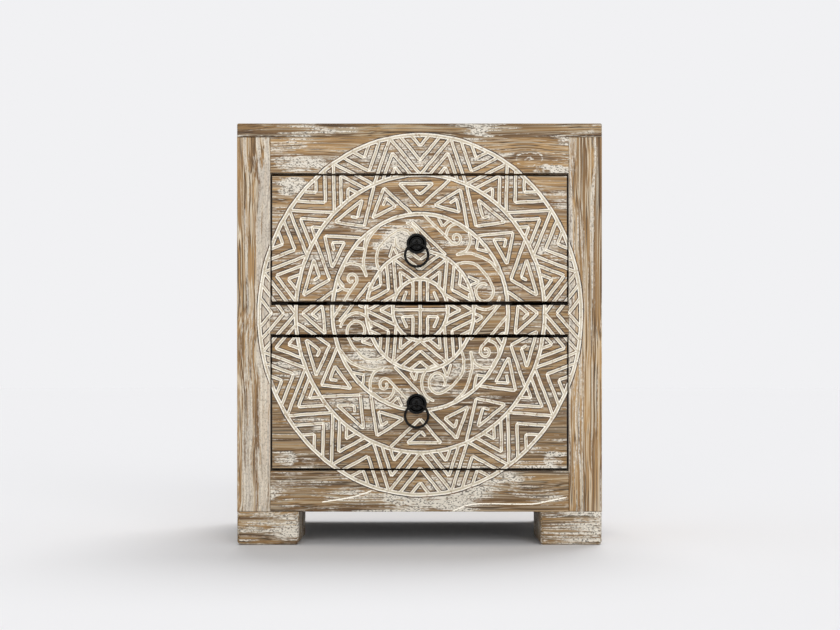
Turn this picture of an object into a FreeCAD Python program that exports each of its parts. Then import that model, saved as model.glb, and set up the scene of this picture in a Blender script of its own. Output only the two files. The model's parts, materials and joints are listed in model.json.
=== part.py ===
import FreeCAD, Part
import math
import os

# A two-drawer nightstand in limed wood: a framed case on four block feet, two dovetailed
# drawers that run on wooden runners, a black iron ring pull on each drawer front, and a round
# medallion carved across the whole front.
#
# Millimetres. X runs to the right, Y from the front to the back, Z up. The origin lies on
# the floor, under the middle of the whole piece, with the pulls counted in.

Vector = FreeCAD.Vector

# Case
CASE_WIDTH = 450.0
CASE_DEPTH = 350.0
TOP_THICKNESS = 17.0
FRAME_THICKNESS = 20.0
STILE_WIDTH = 41.0
TOP_RAIL_HEIGHT = 45.0
MIDDLE_RAIL_HEIGHT = 36.5
BOTTOM_RAIL_HEIGHT = 51.0
SIDE_THICKNESS = 15.0
BACK_THICKNESS = 9.0
CASE_FLOOR_THICKNESS = 12.0
RABBET_DEPTH = 7.0
TOP_EDGE_ROUND = 2.0
STILE_EDGE_ROUND = 1.5

# Joints of the face frame and of the side panels
TENON_LENGTH = 25.0
TENON_THICKNESS = 8.0
TENON_SHOULDER = 6.0
MORTISE_SLACK = 1.0
TONGUE_THICKNESS = 6.0
TONGUE_LENGTH = 6.0

# Dowels between the side panels and the top
DOWEL_RADIUS = 4.0
DOWEL_IN_TOP = 10.0
DOWEL_IN_SIDE = 20.0
DOWEL_END_DISTANCE = 45.0
DOWELS_PER_SIDE = 3

# Feet and the screws that hold them
FRONT_FOOT_WIDTH = 76.0
FRONT_FOOT_DEPTH = 120.0
REAR_FOOT_WIDTH = 60.0
REAR_FOOT_DEPTH = 60.0
FOOT_HEIGHT = 41.0
FOOT_EDGE_ROUND = 3.0
FOOT_BOTTOM_ROUND = 5.0
SCREW_RADIUS = 2.0
SCREW_HEAD_RADIUS = 4.5
SCREW_HEAD_HEIGHT = 3.0
SCREW_IN_FOOT = 24.0
SCREW_SPACING = 28.0

# Drawer fronts and the gaps that are seen around them
UPPER_FRONT_HEIGHT = 155.0
LOWER_FRONT_HEIGHT = 162.0
UPPER_GAP_ABOVE = 2.5
UPPER_GAP_BELOW = 4.5
LOWER_GAP_ABOVE = 3.5
LOWER_GAP_BELOW = 2.0
FRONT_SIDE_GAP = 1.75
FRONT_EDGE_BEVEL = 0.7

# Drawer boxes
DRAWER_SIDE_THICKNESS = 12.0
DRAWER_BACK_THICKNESS = 12.0
DRAWER_FLOOR_THICKNESS = 6.0
SIDE_DROP = 6.0
FLOOR_RAISE = 8.0
GROOVE_DEPTH = 6.0
FLOOR_SLACK = 0.3
HOUSING_DEPTH = 5.0
SIDE_TAIL_PAST_BACK = 10.0
DRAWER_REAR_GAP = 14.0

# Dovetails that hold a drawer front to its sides
TAIL_COUNT = 4
TAIL_LAP = 7.0
TAIL_WIDTH = 22.0
TAIL_SLOPE = 1.0 / 6.0

# Runners, guides, kickers and stops inside the case
RUNNER_BEARING = 20.0
RUNNER_HOUSING = 4.0
SLIDE_CLEARANCE = 0.3
KICK_GAP = 4.0
GUIDE_HEIGHT = 18.0
GUIDE_CLEARANCE = 1.0
STOP_WIDTH = 30.0
STOP_THICKNESS = 12.0
STOP_CENTRE = 100.0
STOP_GLUED_HEIGHT = 19.0
STOP_HEADROOM = 2.5
STOP_CLEARANCE = 0.3

# Ring pulls
PULL_OFFSET = -3.5
UPPER_PULL_HEIGHT = 71.0
LOWER_PULL_HEIGHT = 80.0
ROSETTE_RADIUS = 12.5
ROSETTE_RIM = 1.5
ROSETTE_HEIGHT = 4.5
BEAD_RADIUS = 1.1
BOSS_RADIUS = 4.2
COLLAR_RADIUS = 3.0
COLLAR_THICKNESS = 1.5
EYE_RADIUS = 3.6
EYE_WIRE_RADIUS = 1.2
SHANK_RADIUS = 2.0
SHANK_CLEARANCE = 0.2
SHANK_PAST_NUT = 0.8
WASHER_RADIUS = 5.0
WASHER_THICKNESS = 1.0
NUT_ACROSS_FLATS = 7.0
NUT_THICKNESS = 3.2
NUT_CLEARANCE = 0.05
RING_RADIUS = 14.15
RING_WIRE_RADIUS = 1.6
RING_CLEARANCE = 0.3

# Carved medallion. It is drawn round and stretched in height, with its inner rings set a little
# higher than the outer one. Its bands hold, from the outside in, chevrons, frets, scrolls and a
# star, and a cross with four hooks fills the smallest ring.
CARVING_DEPTH = 1.5
RING_GROOVE_WIDTH = 5.0
LINE_GROOVE_WIDTH = 4.4
SCROLL_GROOVE_WIDTH = 4.0
MEDALLION_OFFSET = 0.9
MEDALLION_RISE = 6.0
MEDALLION_STRETCH = 1.117
INNER_RINGS_RISE = 7.5
EDGE_RING_RADIUS = 198.5
CHEVRON_RING_RADIUS = 153.5
FRET_RING_RADIUS = 108.3
SCROLL_RING_RADIUS = 67.2
STAR_RING_RADIUS = 34.0
CHEVRON_FOLDS = 16
CHEVRON_OUT_STEP = 8.7
CHEVRON_IN_STEP = 10.9
STAR_FOLDS = 6
STAR_OUT_STEP = 7.0
STAR_IN_STEP = 9.0
CHEVRONS_PER_TRIANGLE = 2
FRET_COUNT = 20
SCROLL_COUNT = 4
TAIL_COIL_OUTER = 7.7
TAIL_COIL_INNER = 2.4
BODY_COIL_OUTER = 12.4
BODY_COIL_INNER = 3.2
HOOK_ARM = 9.0
HOOK_FOOT = 8.0
HOOK_REACH = 22.2
HOOK_END_X = 16.6
HOOK_END_Z = 20.3

# Planes across the depth. The eye of the pull stands furthest forward.
EYE_OFFSET = ROSETTE_HEIGHT + COLLAR_THICKNESS + EYE_RADIUS
PULL_REACH = EYE_OFFSET + EYE_RADIUS + EYE_WIRE_RADIUS
FRONT_Y = (PULL_REACH - CASE_DEPTH) / 2
BACK_Y = FRONT_Y + CASE_DEPTH
CARVED_Y = FRONT_Y + CARVING_DEPTH
FRAME_BACK_Y = FRONT_Y + FRAME_THICKNESS
BACK_PANEL_Y = BACK_Y - BACK_THICKNESS
FRONT_BACK_Y = FRAME_BACK_Y - STOP_CLEARANCE
DRAWER_REAR_Y = BACK_PANEL_Y - DRAWER_REAR_GAP
DRAWER_BACK_REAR_Y = DRAWER_REAR_Y - SIDE_TAIL_PAST_BACK
DRAWER_BACK_FRONT_Y = DRAWER_BACK_REAR_Y - DRAWER_BACK_THICKNESS
EYE_Y = FRONT_Y - EYE_OFFSET

# Planes across the width, for the right half
CASE_HALF = CASE_WIDTH / 2
INNER_HALF = CASE_HALF - SIDE_THICKNESS
OPENING_HALF = CASE_HALF - STILE_WIDTH
DRAWER_HALF = OPENING_HALF - FRONT_SIDE_GAP
DRAWER_INNER_HALF = DRAWER_HALF - DRAWER_SIDE_THICKNESS
RUNNER_INNER = OPENING_HALF - RUNNER_BEARING

# Levels, from the floor up
BOTTOM_RAIL_TOP = FOOT_HEIGHT + BOTTOM_RAIL_HEIGHT
LOWER_FRONT_BOTTOM = BOTTOM_RAIL_TOP + LOWER_GAP_BELOW
LOWER_FRONT_TOP = LOWER_FRONT_BOTTOM + LOWER_FRONT_HEIGHT
MIDDLE_RAIL_BOTTOM = LOWER_FRONT_TOP + LOWER_GAP_ABOVE
MIDDLE_RAIL_TOP = MIDDLE_RAIL_BOTTOM + MIDDLE_RAIL_HEIGHT
UPPER_FRONT_BOTTOM = MIDDLE_RAIL_TOP + UPPER_GAP_BELOW
UPPER_FRONT_TOP = UPPER_FRONT_BOTTOM + UPPER_FRONT_HEIGHT
TOP_RAIL_BOTTOM = UPPER_FRONT_TOP + UPPER_GAP_ABOVE
CASE_TOP = TOP_RAIL_BOTTOM + TOP_RAIL_HEIGHT
CASE_FLOOR_TOP = FOOT_HEIGHT + CASE_FLOOR_THICKNESS
MEDALLION_MIDDLE = (MIDDLE_RAIL_BOTTOM + MIDDLE_RAIL_TOP) / 2 + MEDALLION_RISE
RAIL_LEVELS = (
    (FOOT_HEIGHT, BOTTOM_RAIL_TOP),
    (MIDDLE_RAIL_BOTTOM, MIDDLE_RAIL_TOP),
    (TOP_RAIL_BOTTOM, CASE_TOP),
)


def box(x_span, y_span, z_span):
    """A block between two planes on each axis."""
    low = Vector(x_span[0], y_span[0], z_span[0])
    sizes = [span[1] - span[0] for span in (x_span, y_span, z_span)]
    return Part.makeBox(*sizes, low)


def mirrored(shape):
    """The left-hand twin of a right-hand piece."""
    return shape.mirror(Vector(0, 0, 0), Vector(1, 0, 0))


def edges_where(shape, wanted):
    """The edges of a shape whose middle point passes a test."""
    return [edge for edge in shape.Edges if wanted(edge.CenterOfMass)]


def near(value, plane):
    """True if a coordinate lies on a plane, to within a ten-thousandth of a millimetre."""
    return abs(value - plane) < 1e-4


def polar(angle, radius):
    """A point of the round drawing, by its angle in degrees, clockwise from the top, and its radius."""
    turn = math.radians(angle)
    return radius * math.sin(turn), radius * math.cos(turn)


def on_front(point):
    """Sets a point of the round drawing on the bottom of the carved grooves."""
    u, v = point
    rise = INNER_RINGS_RISE * (1 - math.hypot(u, v) / EDGE_RING_RADIUS)
    z = MEDALLION_MIDDLE + MEDALLION_STRETCH * v + rise
    return Vector(MEDALLION_OFFSET + u, CARVED_Y, z)


def strip(line, width):
    """A flat strip along a line of the drawing, with mitred corners."""
    points = [on_front(point) for point in line]
    runs = [(b - a).normalize() for a, b in zip(points, points[1:])]
    sides = []
    for before, after in zip(runs[:1] + runs, runs + runs[-1:]):
        bisector = (before + after).normalize()
        sides.append(Vector(bisector.z, 0, -bisector.x) * (width / 2 / bisector.dot(after)))
    there = [point + side for point, side in zip(points, sides)]
    back = [point - side for point, side in zip(points, sides)][::-1]
    return Part.Face(Part.makePolygon(there + back + there[:1]))


def ring_strip(radius):
    """The flat strip of a ring, between two ellipses."""
    top = on_front((0, radius))
    bottom = on_front((0, -radius))
    centre = (top + bottom) / 2
    discs = []
    for edge in (RING_GROOVE_WIDTH / 2, -RING_GROOVE_WIDTH / 2):
        axes = [Vector(radius + edge, 0, 0), Vector(0, 0, (top.z - bottom.z) / 2 + edge)]
        short, long = sorted(axes, key=lambda axis: axis.Length)
        ellipse = Part.Ellipse(centre + long, centre + short, centre)
        discs.append(Part.Face(Part.Wire(ellipse.toShape())))
    return discs[0].cut(discs[1]).Faces[0]


def reach(start, direction, radius):
    """How far a line runs from a point of the drawing to a ring, or 0 if it misses the ring."""
    along = start.dot(direction)
    inside = along ** 2 - start.Length ** 2 + radius ** 2
    if inside < 0:
        return 0.0
    hits = (-along - math.sqrt(inside), -along + math.sqrt(inside))
    return next((hit for hit in hits if hit > 0), 0.0)


def nested_chevrons(apex, feet, radius, step):
    """Chevrons inside a triangle, side by side with its legs, that end on the ring at its feet."""
    tip = Vector(*apex, 0)
    legs = [(Vector(*foot, 0) - tip).normalize() for foot in feet]
    middle = (legs[0] + legs[1]).normalize()
    spread = math.sin(legs[0].getAngle(middle))
    lines = []
    for number in range(1, CHEVRONS_PER_TRIANGLE + 1):
        corner = tip + middle * (number * step / spread)
        runs = [reach(corner, leg, radius) for leg in legs]
        if min(runs) > LINE_GROOVE_WIDTH:
            first, last = (corner + leg * run for leg, run in zip(legs, runs))
            lines.append([(point.x, point.y) for point in (first, corner, last)])
    return lines


def zigzag(outer, inner, folds, out_step, in_step):
    """The lines of a zigzag between two rings, with chevrons in its triangles."""
    half = 180.0 / folds
    lines = []
    for number in range(folds):
        angle = 2 * number * half
        before = polar(angle, inner)
        tip = polar(angle + half, outer)
        after = polar(angle + 2 * half, inner)
        next_tip = polar(angle + 3 * half, outer)
        lines += [[before, tip], [tip, after]]
        lines += nested_chevrons(tip, (before, after), inner, out_step)
        lines += nested_chevrons(after, (tip, next_tip), outer, in_step)
    return lines


def frets():
    """Three-cornered spirals, pointing out and in by turns. Four of them wind the other way."""
    # Corners as degrees from the fret's middle and shares of the band's width.
    pointing_out = ((12.2, 0.03), (0, 0.82), (-11.5, 0.25), (3.7, 0.28), (-0.5, 0.56), (-3.2, 0.40))
    pointing_in = ((14.0, 0.97), (0, 0.20), (-10.2, 0.82), (6.3, 0.79), (-0.4, 0.49), (-2.7, 0.62))
    width = CHEVRON_RING_RADIUS - FRET_RING_RADIUS
    lines = []
    for number in range(FRET_COUNT):
        middle = 360.0 * number / FRET_COUNT
        hand = -1 if 2 <= number <= 5 else 1
        line = []
        for turn, share in pointing_out if number % 2 else pointing_in:
            line.append(polar(middle + hand * turn, FRET_RING_RADIUS + width * share))
        lines.append(line)
    return lines


def spiral(centre, first, last, start, sweep):
    """A coil from one radius to another, by its first angle and its turn, anticlockwise from the right."""
    steps = math.ceil(abs(sweep) / 30.0)
    points = []
    for number in range(steps + 1):
        angle = math.radians(start + sweep * number / steps)
        radius = first + (last - first) * number / steps
        points.append((centre[0] + radius * math.cos(angle), centre[1] + radius * math.sin(angle)))
    return points


def scrolls():
    """The scrolls and leaves of the third band, drawn once for each quarter."""
    width = FRET_RING_RADIUS - SCROLL_RING_RADIUS
    lines = []
    for number in range(SCROLL_COUNT):
        turn = 360.0 * number / SCROLL_COUNT

        def spot(angle, share):
            return polar(turn + angle, SCROLL_RING_RADIUS + width * share)

        tip = spot(35.4, 0.22)
        tail_coil = spiral(spot(28.6, 0.61), TAIL_COIL_OUTER, TAIL_COIL_INNER, 208 - turn, 390)
        body_coil = spiral(spot(74.3, 0.34), BODY_COIL_OUTER, BODY_COIL_INNER, 26 - turn, -420)
        lines += [
            [spot(1.6, 1.0), spot(19.6, 0.54)] + tail_coil,
            [tip, spot(41.5, 0.45), spot(46.9, 0.61), spot(57.6, 0.86), spot(68.1, 0.99)],
            [spot(40.9, 0.0), spot(45.1, 0.21), spot(52.1, 0.44), spot(59.1, 0.53)] + body_coil,
        ]
    return lines


def heart():
    """The cross in the smallest ring and the hook in each of its quarters."""
    edge = STAR_RING_RADIUS
    lines = [[(0, -edge), (0, edge)], [(-edge, 0), (edge, 0)]]
    hook_top = math.sqrt(edge ** 2 - HOOK_ARM ** 2)
    hook = [(HOOK_ARM, hook_top), (HOOK_ARM, HOOK_FOOT), (HOOK_REACH, HOOK_FOOT), (HOOK_END_X, HOOK_END_Z)]
    for across in (-1, 1):
        for up in (-1, 1):
            lines.append([(across * u, up * v) for u, v in hook])
    return lines


def medallion():
    """The flat strips of every carved line."""
    chevrons = zigzag(EDGE_RING_RADIUS, CHEVRON_RING_RADIUS, CHEVRON_FOLDS, CHEVRON_OUT_STEP, CHEVRON_IN_STEP)
    star = zigzag(SCROLL_RING_RADIUS, STAR_RING_RADIUS, STAR_FOLDS, STAR_OUT_STEP, STAR_IN_STEP)
    rings = (
        EDGE_RING_RADIUS, CHEVRON_RING_RADIUS, FRET_RING_RADIUS, SCROLL_RING_RADIUS, STAR_RING_RADIUS,
    )
    strips = [ring_strip(radius) for radius in rings]
    strips += [strip(line, LINE_GROOVE_WIDTH) for line in chevrons + frets() + star + heart()]
    strips += [strip(line, SCROLL_GROOVE_WIDTH) for line in scrolls()]
    return strips


def carve(board, strips):
    """Cuts the strips that cross a board into its front."""
    crossing = [piece for piece in strips if piece.BoundBox.intersect(board.BoundBox)]
    if not crossing:
        return board
    return board.cut([piece.extrude(Vector(0, -2 * CARVING_DEPTH, 0)) for piece in crossing]).removeSplitter()


def tenon(level, extra=0.0):
    """The right-hand tenon of a rail at a level, or its mortise with extra depth."""
    cheek = (FRAME_THICKNESS - TENON_THICKNESS) / 2
    return box(
        (OPENING_HALF, OPENING_HALF + TENON_LENGTH + extra),
        (FRONT_Y + cheek, FRAME_BACK_Y - cheek),
        (level[0] + TENON_SHOULDER, level[1] - TENON_SHOULDER),
    )


def rail(level):
    """A rail of the face frame, with a tenon at each end."""
    board = box((-OPENING_HALF, OPENING_HALF), (FRONT_Y, FRAME_BACK_Y), level)
    right = tenon(level)
    return board.fuse([right, mirrored(right)]).removeSplitter()


def side_tongue():
    """The tongue along the front edge of the right side panel."""
    shoulder = (SIDE_THICKNESS - TONGUE_THICKNESS) / 2
    return box(
        (INNER_HALF + shoulder, CASE_HALF - shoulder),
        (FRAME_BACK_Y - TONGUE_LENGTH, FRAME_BACK_Y),
        (FOOT_HEIGHT, CASE_TOP),
    )


def right_stile():
    """The right stile: mortised for the rails, grooved at the back for the side panel."""
    board = box((OPENING_HALF, CASE_HALF), (FRONT_Y, FRAME_BACK_Y), (FOOT_HEIGHT, CASE_TOP))
    corner = edges_where(board, lambda p: near(p.x, CASE_HALF) and near(p.y, FRONT_Y))
    board = board.makeFillet(STILE_EDGE_ROUND, corner)
    return board.cut([tenon(level, MORTISE_SLACK) for level in RAIL_LEVELS] + [side_tongue()])


def case_floor():
    """The board that closes the case underneath, let into the side panels."""
    reach = INNER_HALF + RABBET_DEPTH
    return box((-reach, reach), (FRAME_BACK_Y, BACK_PANEL_Y), (FOOT_HEIGHT, CASE_FLOOR_TOP))


def back_panel():
    """The back board, let into the side panels."""
    reach = INNER_HALF + RABBET_DEPTH
    return box((-reach, reach), (BACK_PANEL_Y, BACK_Y), (FOOT_HEIGHT, CASE_TOP))


def bearer(bottom, top, housing):
    """A right-hand bearer along a drawer side, let into the side panel as deep as its housing."""
    return box((RUNNER_INNER, INNER_HALF + housing), (FRAME_BACK_Y, BACK_PANEL_Y), (bottom, top))


def guide(bottom):
    """A right-hand strip on a runner that keeps the drawer straight."""
    return box(
        (DRAWER_HALF + GUIDE_CLEARANCE, INNER_HALF),
        (FRAME_BACK_Y, BACK_PANEL_Y),
        (bottom, bottom + GUIDE_HEIGHT),
    )


def stops(rail_top, front_bottom):
    """Two blocks behind a rail that the drawer front meets when it is shut."""
    top = front_bottom + FLOOR_RAISE - STOP_HEADROOM
    right = box(
        (STOP_CENTRE - STOP_WIDTH / 2, STOP_CENTRE + STOP_WIDTH / 2),
        (FRAME_BACK_Y, FRAME_BACK_Y + STOP_THICKNESS),
        (rail_top - STOP_GLUED_HEIGHT, top),
    )
    return Part.makeCompound([right, mirrored(right)])


def top_dowels():
    """The dowels between the right side panel and the top."""
    first = FRAME_BACK_Y + DOWEL_END_DISTANCE
    last = BACK_PANEL_Y - DOWEL_END_DISTANCE
    pitch = (last - first) / (DOWELS_PER_SIDE - 1)
    x = CASE_HALF - SIDE_THICKNESS / 2
    foot = CASE_TOP - DOWEL_IN_SIDE
    length = DOWEL_IN_SIDE + DOWEL_IN_TOP
    return [
        Part.makeCylinder(DOWEL_RADIUS, length, Vector(x, first + number * pitch, foot))
        for number in range(DOWELS_PER_SIDE)
    ]


def top_panel(dowels):
    """The top board, drilled from below for the dowels, with its upper edges eased."""
    board = box((-CASE_HALF, CASE_HALF), (FRONT_Y, BACK_Y), (CASE_TOP, CASE_TOP + TOP_THICKNESS))
    rim = edges_where(board, lambda p: near(p.z, CASE_TOP + TOP_THICKNESS))
    return board.makeFillet(TOP_EDGE_ROUND, rim).cut(dowels)


def right_side_panel(let_in):
    """The right side panel, cut for every piece that is let into it."""
    board = box((INNER_HALF, CASE_HALF), (FRAME_BACK_Y, BACK_Y), (FOOT_HEIGHT, CASE_TOP))
    return board.fuse(side_tongue()).removeSplitter().cut(let_in)


def foot_screws(x, y_middle):
    """The two countersunk screws of a right-hand foot, heads level with the case floor."""
    down = Vector(0, 0, -1)
    screws = []
    for y in (y_middle - SCREW_SPACING / 2, y_middle + SCREW_SPACING / 2):
        top = Vector(x, y, CASE_FLOOR_TOP)
        head = Part.makeCone(SCREW_HEAD_RADIUS, SCREW_RADIUS, SCREW_HEAD_HEIGHT, top, down)
        shank = Part.makeCylinder(SCREW_RADIUS, CASE_FLOOR_THICKNESS + SCREW_IN_FOOT, top, down)
        screws.append(head.fuse(shank).removeSplitter())
    return screws


def right_foot(width, y_span, screws):
    """A right-hand block foot, rounded where it stands proud and underneath."""
    block = box((CASE_HALF - width, CASE_HALF), y_span, (0.0, FOOT_HEIGHT))
    upright = edges_where(block, lambda p: near(p.z, FOOT_HEIGHT / 2))
    block = block.makeFillet(FOOT_EDGE_ROUND, upright)
    under = edges_where(block, lambda p: near(p.z, 0.0))
    return block.makeFillet(FOOT_BOTTOM_ROUND, under).cut(screws)


def tails(bottom, height):
    """The dovetails on the front end of a right-hand drawer side, widest towards the front."""
    pitch = height / TAIL_COUNT
    front_end = FRONT_Y + TAIL_LAP
    wide = TAIL_WIDTH / 2
    narrow = wide - (FRONT_BACK_Y - front_end) * TAIL_SLOPE
    found = []
    for number in range(TAIL_COUNT):
        middle = bottom + (number + 0.5) * pitch
        corners = [
            Vector(DRAWER_INNER_HALF, front_end, middle - wide),
            Vector(DRAWER_INNER_HALF, front_end, middle + wide),
            Vector(DRAWER_INNER_HALF, FRONT_BACK_Y, middle + narrow),
            Vector(DRAWER_INNER_HALF, FRONT_BACK_Y, middle - narrow),
        ]
        face = Part.Face(Part.makePolygon(corners + corners[:1]))
        found.append(face.extrude(Vector(DRAWER_SIDE_THICKNESS, 0, 0)))
    return found


def rosette(centre):
    """The round plate of a pull, turned with two beads round a raised boss, bored for the eye bolt."""
    bore = SHANK_RADIUS + SHANK_CLEARANCE
    outer_bead = ROSETTE_RADIUS - 2 * BEAD_RADIUS
    inner_bead = (outer_bead + BOSS_RADIUS) / 2
    slope_top = (ROSETTE_RIM + ROSETTE_HEIGHT) / 2

    def point(radius, height):
        return Vector(radius, -height, 0)

    def bead(radius, height):
        start = point(radius + BEAD_RADIUS, height)
        middle = point(radius, height + BEAD_RADIUS)
        end = point(radius - BEAD_RADIUS, height)
        return Part.Arc(start, middle, end).toShape()

    corners = [
        point(bore, 0),
        point(ROSETTE_RADIUS, 0),
        point(ROSETTE_RADIUS, ROSETTE_RIM),
        point(outer_bead + BEAD_RADIUS, ROSETTE_RIM),
    ]
    edges = [Part.makeLine(a, b) for a, b in zip(corners, corners[1:])]
    edges.append(bead(outer_bead, ROSETTE_RIM))
    step = [point(outer_bead - BEAD_RADIUS, ROSETTE_RIM), point(inner_bead + BEAD_RADIUS, slope_top)]
    edges.append(Part.makeLine(*step))
    edges.append(bead(inner_bead, slope_top))
    crown = [
        point(inner_bead - BEAD_RADIUS, slope_top),
        point(BOSS_RADIUS, slope_top),
        point(BOSS_RADIUS, ROSETTE_HEIGHT),
        point(bore, ROSETTE_HEIGHT),
        point(bore, 0),
    ]
    edges += [Part.makeLine(a, b) for a, b in zip(crown, crown[1:])]
    plate = Part.Face(Part.Wire(edges)).revolve(Vector(0, 0, 0), Vector(0, 1, 0), 360)
    plate.translate(centre)
    return plate


def eye_bolt(centre):
    """The bolt of a pull: an eye in front, a collar on the rosette, a shank through the front."""
    back = Vector(0, 1, 0)
    eye_centre = centre - back * EYE_OFFSET
    eye = Part.makeTorus(EYE_RADIUS, EYE_WIRE_RADIUS, eye_centre, Vector(1, 0, 0))
    collar_front = centre - back * (ROSETTE_HEIGHT + COLLAR_THICKNESS)
    collar = Part.makeCylinder(COLLAR_RADIUS, COLLAR_THICKNESS, collar_front, back)
    inside = FRONT_BACK_Y - FRONT_Y + WASHER_THICKNESS + NUT_THICKNESS + SHANK_PAST_NUT
    length = ROSETTE_HEIGHT + COLLAR_THICKNESS + inside
    shank = Part.makeCylinder(SHANK_RADIUS, length, collar_front, back)
    return eye.fuse([collar, shank]).removeSplitter()


def washer(seat):
    """The washer behind the drawer front."""
    back = Vector(0, 1, 0)
    disc = Part.makeCylinder(WASHER_RADIUS, WASHER_THICKNESS, seat, back)
    return disc.cut(Part.makeCylinder(SHANK_RADIUS + SHANK_CLEARANCE, WASHER_THICKNESS, seat, back))


def nut(seat):
    """The hexagon nut on the washer."""
    corner_radius = NUT_ACROSS_FLATS / math.sqrt(3)
    turns = [math.radians(60 * number) for number in range(7)]
    corners = [seat + Vector(math.cos(t), 0, math.sin(t)) * corner_radius for t in turns]
    back = Vector(0, 1, 0)
    body = Part.Face(Part.makePolygon(corners)).extrude(back * NUT_THICKNESS)
    return body.cut(Part.makeCylinder(SHANK_RADIUS + NUT_CLEARANCE, NUT_THICKNESS, seat, back))


def ring(centre):
    """The loose ring, hanging in the eye of the bolt."""
    hang = EYE_RADIUS - EYE_WIRE_RADIUS - RING_WIRE_RADIUS - RING_CLEARANCE
    middle = centre + Vector(0, -EYE_OFFSET, -hang - RING_RADIUS)
    return Part.makeTorus(RING_RADIUS, RING_WIRE_RADIUS, middle, Vector(0, 1, 0))


def drawer(level, bottom, height, pull_height, strips):
    """Every piece of one drawer, by node name."""
    side_top = bottom + height - SIDE_DROP
    floor_bottom = bottom + FLOOR_RAISE
    floor_top = floor_bottom + DRAWER_FLOOR_THICKNESS
    groove_reach = DRAWER_INNER_HALF + GROOVE_DEPTH
    floor_reach = groove_reach - FLOOR_SLACK
    groove_front = FRONT_BACK_Y - GROOVE_DEPTH
    groove = box(
        (-groove_reach, groove_reach),
        (groove_front, DRAWER_REAR_Y),
        (floor_bottom, floor_top + FLOOR_SLACK),
    )
    floor = box(
        (-floor_reach, floor_reach),
        (groove_front + FLOOR_SLACK, DRAWER_BACK_REAR_Y),
        (floor_bottom, floor_top),
    )
    back_reach = DRAWER_INNER_HALF + HOUSING_DEPTH
    back_span = (DRAWER_BACK_FRONT_Y, DRAWER_BACK_REAR_Y)
    back = box((-back_reach, back_reach), back_span, (floor_top, side_top))
    dovetails = tails(bottom, height - SIDE_DROP)
    side = box((DRAWER_INNER_HALF, DRAWER_HALF), (FRONT_BACK_Y, DRAWER_REAR_Y), (bottom, side_top))
    side = side.fuse(dovetails).removeSplitter().cut([groove, back])

    pull_seat = Vector(PULL_OFFSET, FRONT_Y, bottom + pull_height)
    inside_seat = Vector(PULL_OFFSET, FRONT_BACK_Y, bottom + pull_height)
    bore = Part.makeCylinder(
        SHANK_RADIUS + SHANK_CLEARANCE, FRONT_BACK_Y - FRONT_Y, pull_seat, Vector(0, 1, 0)
    )
    front = box((-DRAWER_HALF, DRAWER_HALF), (FRONT_Y, FRONT_BACK_Y), (bottom, bottom + height))
    rim = edges_where(front, lambda p: near(p.y, FRONT_Y))
    front = front.makeChamfer(FRONT_EDGE_BEVEL, rim)
    front = front.cut(dovetails + [mirrored(tail) for tail in dovetails] + [groove, bore])
    seat_middle = Vector(PULL_OFFSET, CARVED_Y, bottom + pull_height)
    seat = Part.Face(Part.Wire(Part.makeCircle(ROSETTE_RADIUS, seat_middle, Vector(0, 1, 0))))
    front = carve(front, [face for piece in strips for face in piece.cut(seat).Faces])
    return {
        level + "_drawer_front": front,
        level + "_drawer_right_side": side,
        level + "_drawer_left_side": mirrored(side),
        level + "_drawer_back": back,
        level + "_drawer_floor": floor,
        level + "_pull_rosette": rosette(pull_seat),
        level + "_pull_eye_bolt": eye_bolt(pull_seat),
        level + "_pull_washer": washer(inside_seat),
        level + "_pull_nut": nut(inside_seat + Vector(0, WASHER_THICKNESS, 0)),
        level + "_pull_ring": ring(pull_seat),
    }


def face_frame(strips):
    """Stiles and rails with their share of the carving, by node name."""
    stile = right_stile()
    bottom_level, middle_level, top_level = RAIL_LEVELS
    boards = {
        "right_stile": stile,
        "left_stile": mirrored(stile),
        "bottom_rail": rail(bottom_level),
        "middle_rail": rail(middle_level),
        "top_rail": rail(top_level),
    }
    return {name: carve(board, strips) for name, board in boards.items()}


def bearers():
    """Runners, guides and kickers of the right side, by what they are called there."""
    lower_side_top = LOWER_FRONT_TOP - SIDE_DROP
    upper_side_top = UPPER_FRONT_TOP - SIDE_DROP
    lower_bearing = LOWER_FRONT_BOTTOM - SLIDE_CLEARANCE
    upper_bearing = UPPER_FRONT_BOTTOM - SLIDE_CLEARANCE
    return {
        "lower_{}_runner": bearer(CASE_FLOOR_TOP, lower_bearing, RUNNER_HOUSING),
        "upper_{}_runner": bearer(lower_side_top + KICK_GAP, upper_bearing, RUNNER_HOUSING),
        "{}_kicker": bearer(upper_side_top + KICK_GAP, CASE_TOP, 0.0),
        "lower_{}_guide": guide(lower_bearing),
        "upper_{}_guide": guide(upper_bearing),
    }


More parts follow.
